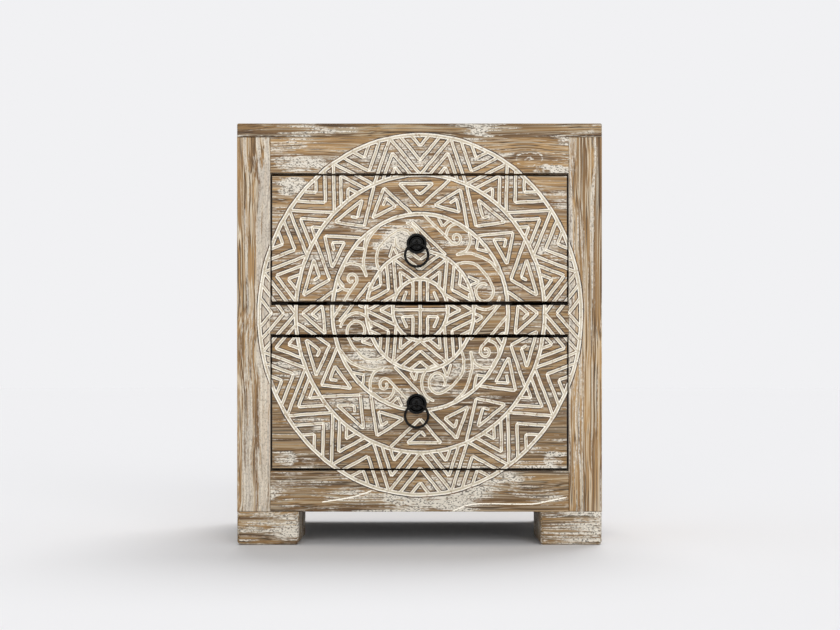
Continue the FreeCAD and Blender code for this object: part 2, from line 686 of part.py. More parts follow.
def case(strips):
    """Every fixed piece of the nightstand, by node name."""
    pieces = face_frame(strips)
    fitted = bearers()
    for name, piece in fitted.items():
        pieces[name.format("right")] = piece
        pieces[name.format("left")] = mirrored(piece)

    dowels = top_dowels()
    all_dowels = dowels + [mirrored(dowel) for dowel in dowels]
    floor = case_floor()
    back = back_panel()
    housed = [piece for name, piece in fitted.items() if name.endswith("runner")]
    side = right_side_panel([floor, back] + housed + dowels)
    pieces["right_side_panel"] = side
    pieces["left_side_panel"] = mirrored(side)
    pieces["back_panel"] = back
    pieces["top_panel"] = carve(top_panel(all_dowels), strips)
    pieces["top_dowels"] = Part.makeCompound(all_dowels)

    foot_widths = {"front": FRONT_FOOT_WIDTH, "rear": REAR_FOOT_WIDTH}
    foot_spans = {
        "front": (FRONT_Y, FRONT_Y + FRONT_FOOT_DEPTH),
        "rear": (BACK_Y - REAR_FOOT_DEPTH, BACK_Y),
    }
    screw_middles = {
        "front": (FRAME_BACK_Y + FRONT_Y + FRONT_FOOT_DEPTH) / 2,
        "rear": (BACK_PANEL_Y + BACK_Y - REAR_FOOT_DEPTH) / 2,
    }
    screws = []
    for end, width in foot_widths.items():
        own_screws = foot_screws(CASE_HALF - width / 2, screw_middles[end])
        foot = right_foot(width, foot_spans[end], own_screws)
        pieces[end + "_right_foot"] = foot
        pieces[end + "_left_foot"] = mirrored(foot)
        screws += own_screws + [mirrored(screw) for screw in own_screws]
    pieces["foot_screws"] = Part.makeCompound(screws)
    pieces["case_floor"] = floor.cut(screws)

    pieces["lower_drawer_stops"] = stops(BOTTOM_RAIL_TOP, LOWER_FRONT_BOTTOM)
    pieces["upper_drawer_stops"] = stops(MIDDLE_RAIL_TOP, UPPER_FRONT_BOTTOM)
    return pieces


def main():
    """Builds every piece and writes one STEP file for each node."""
    strips = medallion()
    pieces = case(strips)
    pieces.update(drawer("upper", UPPER_FRONT_BOTTOM, UPPER_FRONT_HEIGHT, UPPER_PULL_HEIGHT, strips))
    pieces.update(drawer("lower", LOWER_FRONT_BOTTOM, LOWER_FRONT_HEIGHT, LOWER_PULL_HEIGHT, strips))
    os.makedirs("parts", exist_ok=True)
    for name, shape in pieces.items():
        shape.exportStep(os.path.join("parts", name + ".step"))
        volume = sum(solid.Volume for solid in shape.Solids)
        print(f"{name}: {len(shape.Solids)} solid(s), {volume / 1000:.2f} cm3, valid {shape.isValid()}")


if __name__ == "__main__":
    main()
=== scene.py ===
"""The looks of a limed, carved nightstand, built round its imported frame.

Metres, +Z up, the front faces -Y. What the frame holds is measured from it. The carving, the finishes and
the studio keep their own sizes in the classes below.
"""
import json
import logging
import math
import random
from abc import ABC, abstractmethod
from collections.abc import Callable, Iterable, Iterator
from contextlib import contextmanager
from dataclasses import dataclass, field
from enum import Enum

import bmesh
import bpy
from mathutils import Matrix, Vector

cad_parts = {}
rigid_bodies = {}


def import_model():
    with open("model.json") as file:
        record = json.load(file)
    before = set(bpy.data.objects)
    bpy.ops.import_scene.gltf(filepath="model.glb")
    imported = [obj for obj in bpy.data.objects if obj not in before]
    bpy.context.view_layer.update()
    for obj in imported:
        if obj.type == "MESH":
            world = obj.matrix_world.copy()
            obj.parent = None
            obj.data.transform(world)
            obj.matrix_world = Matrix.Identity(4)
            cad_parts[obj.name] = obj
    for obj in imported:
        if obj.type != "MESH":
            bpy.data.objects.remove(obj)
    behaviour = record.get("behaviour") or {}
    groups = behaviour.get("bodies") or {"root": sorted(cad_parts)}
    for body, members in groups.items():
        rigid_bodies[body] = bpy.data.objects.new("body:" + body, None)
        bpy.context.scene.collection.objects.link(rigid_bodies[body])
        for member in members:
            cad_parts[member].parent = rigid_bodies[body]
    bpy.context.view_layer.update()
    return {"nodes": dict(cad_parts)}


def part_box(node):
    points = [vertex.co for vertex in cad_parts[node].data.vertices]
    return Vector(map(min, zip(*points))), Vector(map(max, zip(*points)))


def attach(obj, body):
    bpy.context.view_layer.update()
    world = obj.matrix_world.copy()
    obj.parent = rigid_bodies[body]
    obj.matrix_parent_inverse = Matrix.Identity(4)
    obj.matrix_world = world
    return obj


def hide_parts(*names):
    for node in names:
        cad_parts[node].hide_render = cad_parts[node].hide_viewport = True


MM = 0.001
SMOOTH_ANGLE = math.radians(35)
# Points closer than the first are one point, and a point closer than the second lies on a face.
SAME_POINT = 0.001 * MM
ON_FACE = 0.01 * MM
# How much of a face's normal points one way, at least, where the face looks that way, and where it is flat.
SQUARE_ON = 0.99
FLAT = 0.999
LEFT, RIGHT = Vector((-1, 0, 0)), Vector((1, 0, 0))
DOWN, UP = Vector((0, 0, -1)), Vector((0, 0, 1))

Piece = bpy.types.Object
Tree = bpy.types.NodeTree
Socket = bpy.types.NodeSocket
Colour = tuple[float, float, float, float]
Cuts = list[bpy.types.Collection]
Point = tuple[float, float]
log = logging.getLogger("nightstand")


class Pick(Enum):
    """What is selected in edit mode."""

    POINTS = "VERT"
    EDGES = "EDGE"
    FACES = "FACE"


def linear(code: str) -> Colour:
    """Turns an sRGB hex colour into linear light.

    Args:
        code: six hex digits after a hash sign.

    Returns:
        Red, green, blue and a full alpha.
    """
    shares = [int(code[i:i + 2], 16) / 255 for i in (1, 3, 5)]
    return (*(s / 12.92 if s <= 0.04045 else ((s + 0.055) / 1.055) ** 2.4 for s in shares), 1.0)


def add_node(tree: Tree, kind: str, inputs: dict | None = None, **settings) -> bpy.types.Node:
    """Adds one shader node.

    Args:
        tree: the node tree that it joins.
        kind: the node's type, without its ShaderNode prefix.
        inputs: for each input, by name or number, a socket to link or a value to set.
        settings: the node's own properties.

    Returns:
        The new node.
    """
    node = tree.nodes.new(f"ShaderNode{kind}")
    for key, value in settings.items():
        setattr(node, key, value)
    for key, value in (inputs or {}).items():
        if isinstance(value, Socket):
            tree.links.new(value, node.inputs[key])
        else:
            node.inputs[key].default_value = value
    return node


def select_only(piece: Piece) -> None:
    """Makes one object the selected and active one.

    Args:
        piece: the object.
    """
    bpy.ops.object.select_all(action="DESELECT")
    piece.select_set(True)
    bpy.context.view_layer.objects.active = piece


@contextmanager
def edit_mode(piece: Piece, pick: Pick = Pick.FACES) -> Iterator[None]:
    """Opens a mesh in edit mode with nothing selected.

    Args:
        piece: the mesh object.
        pick: what is selected there.

    Returns:
        A context that ends back in object mode.
    """
    select_only(piece)
    bpy.ops.object.mode_set(mode="EDIT")
    bpy.ops.mesh.select_mode(type=pick.value)
    bpy.ops.mesh.select_all(action="DESELECT")
    yield
    bpy.ops.object.mode_set(mode="OBJECT")


def pick_faces(piece: Piece, test: Callable[[bmesh.types.BMFace], bool]) -> None:
    """Selects faces in edit mode.

    Args:
        piece: the mesh object.
        test: tells whether a face is selected, by its place or normal.
    """
    cage = bmesh.from_edit_mesh(piece.data)
    for face in cage.faces:
        face.select_set(test(face))
    bmesh.update_edit_mesh(piece.data)


def pick_edges(piece: Piece, test: Callable[[Vector, Vector], bool]) -> None:
    """Selects edges in edit mode.

    Args:
        piece: the mesh object.
        test: tells whether an edge is selected, by its two ends.
    """
    cage = bmesh.from_edit_mesh(piece.data)
    for edge in cage.edges:
        edge.select_set(test(edge.verts[0].co, edge.verts[1].co))
    bmesh.update_edit_mesh(piece.data)


def apply_modifier(piece: Piece, kind: str, **settings) -> None:
    """Adds a modifier and applies it.

    Args:
        piece: the mesh object.
        kind: the modifier's type.
        settings: the modifier's own properties.
    """
    modifier = piece.modifiers.new(kind.lower(), kind)
    for key, value in settings.items():
        setattr(modifier, key, value)
    select_only(piece)
    bpy.ops.object.modifier_apply(modifier=modifier.name)


def block(name: str, low: Vector, high: Vector) -> Piece:
    """Adds a squared blank from which a piece is shaped.

    Args:
        name: the piece's name.
        low: its lowest corner.
        high: its highest corner.

    Returns:
        The blank, with its place in its mesh.
    """
    bpy.ops.object.select_all(action="DESELECT")
    bpy.ops.mesh.primitive_cube_add(size=1.0, location=(low + high) / 2)
    blank = bpy.context.object
    blank.name = name
    blank.scale = high - low
    bpy.ops.object.transform_apply(location=True, rotation=True, scale=True)
    return blank


def merged_copy(node: Piece) -> Piece:
    """Copies a frame node as one closed mesh, to shape a neighbour by.

    Args:
        node: the node's object.

    Returns:
        The copy, which the caller removes again.
    """
    copy = bpy.data.objects.new(f"{node.name}_copy", node.data.copy())
    bpy.context.scene.collection.objects.link(copy)
    with edit_mode(copy, Pick.POINTS):
        bpy.ops.mesh.select_all(action="SELECT")
        bpy.ops.mesh.remove_doubles(threshold=SAME_POINT)
    return copy


def remove(pieces: Iterable[Piece]) -> None:
    """Deletes objects that only helped to shape others."""
    for piece in list(pieces):
        bpy.data.objects.remove(piece)


class Finish(ABC):
    """A surface as it was made: a node material that is built when it is first needed."""

    name: str

    @abstractmethod
    def surface(self, tree: Tree) -> bpy.types.Node:
        """Adds the finish's nodes to a tree and gives its shader."""

    def material(self) -> bpy.types.Material:
        """Builds the finish, or gives it again if it was built before.

        Returns:
            The finish's material.
        """
        made = bpy.data.materials.get(self.name)
        if made:
            return made
        made = bpy.data.materials.new(self.name)
        made.use_nodes = True
        tree = made.node_tree
        tree.nodes.clear()
        add_node(tree, "OutputMaterial", {"Surface": self.surface(tree).outputs[0]})
        return made


class Grain(Enum):
    """The way that fibres run, as the turn that lays them along a pattern's X."""

    ACROSS = (0.0, 0.0, 0.0)
    UP = (0.0, math.pi / 2, 0.0)
    DEEP = (0.0, 0.0, -math.pi / 2)


@dataclass(frozen=True)
class Timber:
    """The colours of a wood, and of the lime that was rubbed into it."""

    dark: str
    light: str
    pore: str
    wash: str = "#DDD0B8"
    lime: str = "#F4EEE2"
    lime_shade: str = "#CFC7B7"


MANGO = Timber(dark="#6E4F2B", light="#AC8858", pore="#35230F")
OLD_MANGO = Timber(dark="#5E4325", light="#9B7A4D", pore="#2A1C0B", wash="#C9BBA0")
DRAWER_PINE = Timber(dark="#B48A5A", light="#D2AE7F", pore="#8F6A40")
# Painted shade: near-black pine for the hidden inner parts, so that the drawer gaps read black and little
# light bounces under the case.
SHADE_DARK_PINE = Timber(dark="#241E18", light="#352C24", pore="#18130F")
BEECH = Timber(dark="#B98F66", light="#D3AC82", pore="#9A734C")


@dataclass(frozen=True)
class Spots:
    """Spots drawn out along the fibres, in millimetres, with so many layers of finer ones in them."""

    along: float
    across: float
    detail: float


@dataclass(frozen=True)
class Layer:
    """Spots that colour what lies under them, from the level where they start to where they are full."""

    spots: Spots
    start: float
    full: float


# Real pores, streaks and specks are a few tenths of a millimetre wide. They are drawn 1.5 to 1.9 mm wide, so
# that they show in a render whose pixels are 1.2 mm.
DRIFT = Spots(130, 40, 1)
YEAR_RINGS = Layer(Spots(260, 7, 3), 0.36, 0.64)
PORES = Layer(Spots(140, 1.5, 2), 0.52, 0.62)
THIN_WASH = Layer(Spots(170, 1.6, 2), 0.5, 0.62)
BARE_SPECKS = Layer(Spots(2.6, 1.7, 2), 0.52, 0.6)
LIME_PATCHES = Spots(70, 24, 3)
LIME_STREAKS = Spots(110, 1.9, 2)
LIME_FLECKS = Spots(5, 1.7, 2)
LIME_CLOUDS = Spots(12, 4, 2)
STILE_STREAKS = Spots(420, 9, 3)
NOISE_MEAN = 0.5


@dataclass(frozen=True)
class Fade:
    """How the lime thickens from one X to another, as on a stile that hands have rubbed bare outside."""

    start: float
    end: float
    amount: float


class Axis(Enum):
    """The way in which planks lie side by side, as a vector's socket is named."""

    WIDTH = "X"
    DEPTH = "Y"


@dataclass(frozen=True)
class Planks:
    """Boards glued side by side to a wide panel, each with a figure of its own."""

    width: float
    axis: Axis


@dataclass(frozen=True)
class Patch:
    """A spot on a front where the lime was wiped less, or a knot if it has rings. Millimetres."""

    x: float
    z: float
    half_width: float
    half_height: float
    amount: float = 0.3
    rings: float = 0.0
    core: float = 0.5
    trough: float = 0.55

    def extra(self, tree: Tree, coordinates: Socket) -> Socket:
        """Adds the extra lime of the patch.

        Args:
            tree: the material's nodes.
            coordinates: the place in the object's space.

        Returns:
            The extra level of lime, 0 outside the patch.
        """
        middle = (self.x * MM, 0.0, self.z * MM)
        aside = add_node(tree, "VectorMath", {0: coordinates, 1: middle}, operation="SUBTRACT")
        shares = (1 / (self.half_width * MM), 0.0, 1 / (self.half_height * MM))
        scaled = add_node(tree, "VectorMath", {0: aside.outputs[0], 1: shares}, operation="MULTIPLY")
        distance = add_node(tree, "VectorMath", {0: scaled.outputs[0]}, operation="LENGTH").outputs["Value"]
        extra = add_node(tree, "MapRange", {
            "Value": distance, "From Min": self.core, "From Max": 1.0, "To Min": self.amount, "To Max": 0.0},
            interpolation_type="SMOOTHSTEP").outputs[0]
        if self.rings:
            turns = add_node(tree, "Math", {0: distance, 1: math.tau * self.rings}, operation="MULTIPLY")
            wave = add_node(tree, "Math", {0: turns.outputs[0]}, operation="SINE")
            crest = add_node(tree, "Math", {0: wave.outputs[0], 1: self.trough}, operation="SUBTRACT")
            extra = add_node(tree, "Math", {0: extra, 1: crest.outputs[0]}, operation="MULTIPLY").outputs[0]
        return extra


@dataclass(frozen=True)
class Wood(Finish):
    """Brushed solid wood: soft rings worn low, pores open, lime left in the low places.

    The eye sees brown fibres a couple of millimetres wide under a thin white wash, crisp white streaks along
    them, and white patches where the lime was wiped less. Wood without a level of lime is bare.
    """

    name: str
    timber: Timber
    grain: Grain
    seed: int
    lime: float | None = None
    fade: Fade | None = None
    planks: Planks | None = None
    patches: tuple[Patch, ...] = ()
    haze: Spots = LIME_PATCHES
    haze_weights: tuple[float, float, float] = (1.5, 1.2, 0.5)
    haze_levels: Point = (0.05, 0.32)
    wash: float = 0.5
    cover: float = 0.92
    speckle: float = 0.85
    pores: float = 0.8
    drift: float = 14 * MM
    ragged_size: float = 13 * MM
    ragged_reach: float = 7 * MM
    relief: float = 0.5 * MM
    roughness: float = 0.62
    lime_roughness: float = 0.82
    figure_reach: float = 5.0

    def pattern(self, tree: Tree, place: Socket, spots: Spots) -> Socket:
        """Adds a noise of spots along the fibres.

        Args:
            tree: the material's nodes.
            place: the place on the wood, fibres along X.
            spots: their size.

        Returns:
            The noise's value, NOISE_MEAN on average.
        """
        across = 1 / (spots.across * MM)
        stretch = (1 / (spots.along * MM), across, across)
        scaled = add_node(tree, "VectorMath", {0: place, 1: stretch}, operation="MULTIPLY")
        noise = add_node(tree, "TexNoise", {
            "Vector": scaled.outputs[0], "Scale": 1.0, "Detail": spots.detail})
        return noise.outputs["Fac"]

    def coat(self, tree: Tree, place: Socket, under: Socket | Colour, layer: Layer, amount: float,
             colour: str, where: Socket | float = 1.0) -> Socket:
        """Adds one layer of spots over a colour.

        Args:
            tree: the material's nodes.
            place: the place on the wood, fibres along X.
            under: the colour below.
            layer: the spots.
            amount: how much they cover where they are full.
            colour: their colour.
            where: how much of the layer there is at a place.

        Returns:
            The colour with the spots on it.
        """
        full = add_node(tree, "MapRange", {
            "Value": self.pattern(tree, place, layer.spots), "From Min": layer.start, "From Max": layer.full,
            "To Max": amount})
        share = add_node(tree, "Math", {0: full.outputs[0], 1: where}, operation="MULTIPLY")
        mixed = add_node(tree, "MixRGB", {
            "Fac": share.outputs[0], "Color1": under, "Color2": linear(colour)})
        return mixed.outputs[0]

    def fibres(self, tree: Tree) -> Socket:
        """Adds the place on the wood, with fibres along X that drift a few millimetres.

        Args:
            tree: the material's nodes.

        Returns:
            The place, in metres.
        """
        coordinates = add_node(tree, "TexCoord").outputs["Object"]
        shift = random.Random(self.seed).uniform(-self.figure_reach, self.figure_reach)
        turned = add_node(tree, "Mapping", {
            "Vector": coordinates, "Rotation": self.grain.value, "Location": (shift, shift, shift)})
        place = turned.outputs["Vector"]
        if self.planks:
            aside = add_node(tree, "SeparateXYZ", {0: coordinates}).outputs[self.planks.axis.value]
            count = add_node(tree, "Math", {0: aside, 1: self.planks.width}, operation="DIVIDE")
            number = add_node(tree, "Math", {0: count.outputs[0]}, operation="FLOOR")
            jump = add_node(tree, "TexWhiteNoise", {"W": number.outputs[0]}, noise_dimensions="1D")
            moved = add_node(tree, "VectorMath", {0: place, 1: jump.outputs["Color"]}, operation="ADD")
            place = moved.outputs[0]
        drift = self.pattern(tree, place, DRIFT)
        aside = add_node(tree, "CombineXYZ", {"Y": drift, "Z": drift})
        scaled = add_node(tree, "VectorMath", {0: aside.outputs[0], "Scale": self.drift}, operation="SCALE")
        return add_node(tree, "VectorMath", {0: place, 1: scaled.outputs[0]}, operation="ADD").outputs[0]

    def limed(self, tree: Tree, place: Socket) -> Socket:
        """Adds the share of thick lime, in streaks, flecks and patches.

        Args:
            tree: the material's nodes.
            place: the place on the wood, fibres along X.

        Returns:
            0 on bare wood, 1 where the lime covers it.
        """
        level: Socket | float = self.lime - NOISE_MEAN * sum(self.haze_weights)
        for spots, weight in zip((self.haze, LIME_STREAKS, LIME_FLECKS), self.haze_weights):
            noise = self.pattern(tree, place, spots)
            added = add_node(tree, "Math", {0: noise, 1: weight, 2: level}, operation="MULTIPLY_ADD")
            level = added.outputs[0]
        coordinates = add_node(tree, "TexCoord").outputs["Object"]
        waver = add_node(tree, "TexNoise", {
            "Vector": coordinates, "Scale": 1 / self.ragged_size, "Detail": 2.0})
        pushed = add_node(tree, "VectorMath", {
            0: waver.outputs["Color"], 1: (2 * self.ragged_reach,) * 3, 2: coordinates},
            operation="MULTIPLY_ADD")
        ragged = add_node(tree, "VectorMath", {
            0: pushed.outputs[0], 1: (self.ragged_reach,) * 3}, operation="SUBTRACT")
        extras = [patch.extra(tree, ragged.outputs[0]) for patch in self.patches]
        if self.fade:
            across = add_node(tree, "SeparateXYZ", {0: coordinates}).outputs["X"]
            thick = add_node(tree, "MapRange", {
                "Value": across, "From Min": self.fade.start, "From Max": self.fade.end,
                "To Min": -self.fade.amount, "To Max": self.fade.amount}, interpolation_type="SMOOTHSTEP")
            extras.append(thick.outputs[0])
        for extra in extras:
            level = add_node(tree, "Math", {0: level, 1: extra}, operation="ADD").outputs[0]
        share = add_node(tree, "MapRange", {
            "Value": level, "From Min": self.haze_levels[0], "From Max": self.haze_levels[1],
            "To Max": self.cover}, interpolation_type="SMOOTHSTEP")
        return share.outputs[0]

    def surface(self, tree: Tree) -> bpy.types.Node:
        """Adds bare wood, and the lime on it if it has any.

        Args:
            tree: the material's nodes.

        Returns:
            The shader.
        """
        timber = self.timber
        place = self.fibres(tree)
        colour = self.coat(tree, place, linear(timber.dark), YEAR_RINGS, 1.0, timber.light)
        colour = self.coat(tree, place, colour, PORES, self.pores, timber.pore)
        rough = self.roughness
        if self.lime is not None:
            colour = self.coat(tree, place, colour, THIN_WASH, self.wash, timber.wash)
            share = self.limed(tree, place)
            lime = add_node(tree, "MixRGB", {
                "Fac": self.pattern(tree, place, LIME_CLOUDS), "Color1": linear(timber.lime_shade),
                "Color2": linear(timber.lime)}).outputs[0]
            colour = add_node(tree, "MixRGB", {"Fac": share, "Color1": colour, "Color2": lime}).outputs[0]
            colour = self.coat(tree, place, colour, BARE_SPECKS, self.speckle, timber.pore, share)
            rough = add_node(tree, "MapRange", {
                "Value": share, "To Min": self.roughness, "To Max": self.lime_roughness}).outputs[0]
        relief = add_node(tree, "Bump", {
            "Height": self.pattern(tree, place, PORES.spots), "Strength": 0.6, "Distance": self.relief},
            invert=True)
        return add_node(tree, "BsdfPrincipled", {
            "Base Color": colour, "Roughness": rough, "Normal": relief.outputs[0], "IOR": 1.45})


@dataclass(frozen=True)
class LimePaint(Finish):
    """Chalky lime paint wiped into the carved lines.

    The eye sees a flat off-white near the face and a greyer tone deeper in, which is painted shade at the
    bottom of the groove. The paint is thin enough in spots to show the wood.
    """

    front: float
    name: str = "wiped_lime_paint"
    chalk: str = "#FFFAEE"
    # The grey towards the groove's bottom is painted shade. It comes in over the depths given below.
    groove_shade: str = "#C2B7A2"
    wood: str = "#80603C"
    spot_size: float = 3.5 * MM
    shade_depths: Point = (1.0 * MM, 1.4 * MM)
    thin_levels: Point = (0.58, 0.72)
    thinnest: float = 0.75

    def surface(self, tree: Tree) -> bpy.types.Node:
        """Adds the paint, greyed with depth as painted shade, and thin in spots.

        Args:
            tree: the material's nodes.

        Returns:
            The shader.
        """
        coordinates = add_node(tree, "TexCoord").outputs["Object"]
        spots = add_node(tree, "TexNoise", {
            "Vector": coordinates, "Scale": 1 / self.spot_size, "Detail": 3.0}).outputs["Fac"]
        inward = add_node(tree, "SeparateXYZ", {0: coordinates}).outputs["Y"]
        shallow, deep = (self.front + depth for depth in self.shade_depths)
        # Painted shade: the paint is greyer towards the bottom of the groove.
        shaded = add_node(tree, "MapRange", {"Value": inward, "From Min": shallow, "From Max": deep})
        bare = add_node(tree, "MapRange", {
            "Value": spots, "From Min": self.thin_levels[0], "From Max": self.thin_levels[1],
            "To Max": self.thinnest})
        paint = add_node(tree, "MixRGB", {
            "Fac": shaded.outputs[0], "Color1": linear(self.chalk), "Color2": linear(self.groove_shade)})
        colour = add_node(tree, "MixRGB", {
            "Fac": bare.outputs[0], "Color1": paint.outputs[0], "Color2": linear(self.wood)})
        relief = add_node(tree, "Bump", {"Height": spots, "Strength": 0.4, "Distance": 0.4 * MM})
        return add_node(tree, "BsdfPrincipled", {
            "Base Color": colour.outputs[0], "Roughness": 0.88, "Normal": relief.outputs[0]})


@dataclass(frozen=True)
class ShadeWood(Finish):
    """Mottled dark wood: painted shade beside the carved lines and along the gaps between the drawers and
    the rails.
    """

    name: str = "groove_shade_mango"
    dark: str = "#28190A"
    light: str = "#6B4D2C"
    mottle_size: float = 14 * MM
    mottle_levels: Point = (0.42, 0.6)

    def surface(self, tree: Tree) -> bpy.types.Node:
        """Adds mottled dark wood.

        Args:
            tree: the material's nodes.

        Returns:
            The shader.
        """
        coordinates = add_node(tree, "TexCoord").outputs["Object"]
        mottle = add_node(tree, "TexNoise", {
            "Vector": coordinates, "Scale": 1 / self.mottle_size, "Detail": 3.0})
        share = add_node(tree, "MapRange", {
            "Value": mottle.outputs["Fac"], "From Min": self.mottle_levels[0],
            "From Max": self.mottle_levels[1]})
        colour = add_node(tree, "MixRGB", {
            "Fac": share.outputs[0], "Color1": linear(self.dark), "Color2": linear(self.light)})
        return add_node(tree, "BsdfPrincipled", {"Base Color": colour.outputs[0], "Roughness": 0.5})


@dataclass(frozen=True)
class LacqueredIron(Finish):
    """Cast iron under black lacquer: near black, satin, rubbed a little greyer on high spots.

    The casting's grit is finer than a pixel of the render, so it is drawn coarser.
    """

    name: str = "black_lacquered_iron"
    black: str = "#020202"
    rubbed: str = "#100F0F"
    grit_size: float = 1.6 * MM
    grit_depth: float = 0.25 * MM
    rubbed_levels: Point = (0.48, 0.72)
    roughness: Point = (0.1, 0.28)

    def surface(self, tree: Tree) -> bpy.types.Node:
        """Adds lacquer over the grit of the casting.

        Args:
            tree: the material's nodes.

        Returns:
            The shader.
        """
        coordinates = add_node(tree, "TexCoord").outputs["Object"]
        cast = add_node(tree, "TexNoise", {
            "Vector": coordinates, "Scale": 1 / self.grit_size, "Detail": 3.0}).outputs["Fac"]
        worn = add_node(tree, "MapRange", {
            "Value": cast, "From Min": self.rubbed_levels[0], "From Max": self.rubbed_levels[1]})
        colour = add_node(tree, "MixRGB", {
            "Fac": worn.outputs[0], "Color1": linear(self.black), "Color2": linear(self.rubbed)})
        rough = add_node(tree, "MapRange", {
            "Value": cast, "To Min": self.roughness[0], "To Max": self.roughness[1]})
        relief = add_node(tree, "Bump", {"Height": cast, "Strength": 0.8, "Distance": self.grit_depth})
        return add_node(tree, "BsdfPrincipled", {
            "Base Color": colour.outputs[0], "Roughness": rough.outputs[0], "Normal": relief.outputs[0],
            "Specular IOR Level": 0.13})


@dataclass(frozen=True)
class ZincPlate(Finish):
    """Steel fasteners under bright zinc: pale grey metal, clouded by its passivation.

    The frame brings a plain material of this name, and where it does, the fasteners keep that one.
    """

    name: str = "zinc_plated_steel"
    bright: str = "#C4C7CA"
    cloud: str = "#A9A79C"
    cloud_size: float = 4 * MM
    roughness: Point = (0.25, 0.5)

    def surface(self, tree: Tree) -> bpy.types.Node:
        """Adds clouded metal.

        Args:
            tree: the material's nodes.

        Returns:
            The shader.
        """
        coordinates = add_node(tree, "TexCoord").outputs["Object"]
        haze = add_node(tree, "TexNoise", {
            "Vector": coordinates, "Scale": 1 / self.cloud_size, "Detail": 3.0}).outputs["Fac"]
        colour = add_node(tree, "MixRGB", {
            "Fac": haze, "Color1": linear(self.bright), "Color2": linear(self.cloud)})
        rough = add_node(tree, "MapRange", {
            "Value": haze, "To Min": self.roughness[0], "To Max": self.roughness[1]})
        return add_node(tree, "BsdfPrincipled", {
            "Base Color": colour.outputs[0], "Roughness": rough.outputs[0], "Metallic": 1.0})


@dataclass(frozen=True)
class StudioPaper(Finish):
    """Matt pale paper that the object stands on."""

    name: str = "matt_studio_paper"
    colour: str = "#EFEFF1"

    def surface(self, tree: Tree) -> bpy.types.Node:
        """Adds the plain paper and gives its shader."""
        return add_node(tree, "BsdfDiffuse", {"Color": linear(self.colour)})


# Front edges round the drawers, near black as painted shade along the gaps.
GAP_SHADE = ShadeWood("gap_shade_mango", "#100B06", "#2B1E11")


@dataclass(frozen=True)
class Stroke:
    """One pass of the gouge along a line of (x, z) points on the front."""

    line: list[Point]
    width: float
    closed: bool = False

    @property
    def straight(self) -> bool:
        """Tells whether the line runs straight from one point to another."""
        return len(self.line) == 2


def spaced(line: list[Point], step: float) -> list[Point]:
    """Puts points along a line at even steps.

    Args:
        line: the line's corners.
        step: the wanted spacing.

    Returns:
        The points, from the line's first corner to its last.
    """
    runs = [math.dist(a, b) for a, b in zip(line, line[1:])]
    count = max(2, round(sum(runs) / step))
    points = [line[0]]
    for k in range(1, count):
        left = sum(runs) * k / count
        i = 0
        while left > runs[i]:
            left -= runs[i]
            i += 1
        points.append(tuple(a + (b - a) * left / runs[i] for a, b in zip(line[i], line[i + 1])))
    return points + [line[-1]]


def flowing(line: list[Point], per_span: int = 6) -> list[Point]:
    """Draws a smooth curve through points, as a Catmull-Rom spline.

    Args:
        line: the points that it goes through.
        per_span: how many steps it takes from one to the next.

    Returns:
        The curve's points.
    """
    ends = [line[0], *line, line[-1]]
    points = []
    for a, b, c, d in zip(ends, ends[1:], ends[2:], ends[3:]):
        for k in range(per_span):
            t = k / per_span
            points.append(tuple(
                0.5 * (2 * q + (r - p) * t + (2 * p - 5 * q + 4 * r - s) * t ** 2
                       + (3 * q - p - 3 * r + s) * t ** 3)
                for p, q, r, s in zip(a, b, c, d)))
    return points + [line[-1]]


def spiral(centre: Point, radii: Point, start: float, sweep: float, turn: float = 15) -> list[Point]:
    """Draws a coil.

    Args:
        centre: its centre.
        radii: its first and last radius.
        start: the first angle in degrees, anticlockwise from the right.
        sweep: how far it turns in degrees, anticlockwise if positive.
        turn: about how many degrees lie between two points.

    Returns:
        The coil's points.
    """
    steps = max(6, round(abs(sweep) / turn))
    points = []
    for k in range(steps + 1):
        angle = math.radians(start + sweep * k / steps)
        radius = radii[0] + (radii[1] - radii[0]) * k / steps
        points.append((centre[0] + radius * math.cos(angle), centre[1] + radius * math.sin(angle)))
    return points


def polar(angle: float, radius: float) -> Point:
    """Gives the point at an angle in degrees, clockwise from the top, and a radius."""
    return radius * math.sin(math.radians(angle)), radius * math.cos(math.radians(angle))


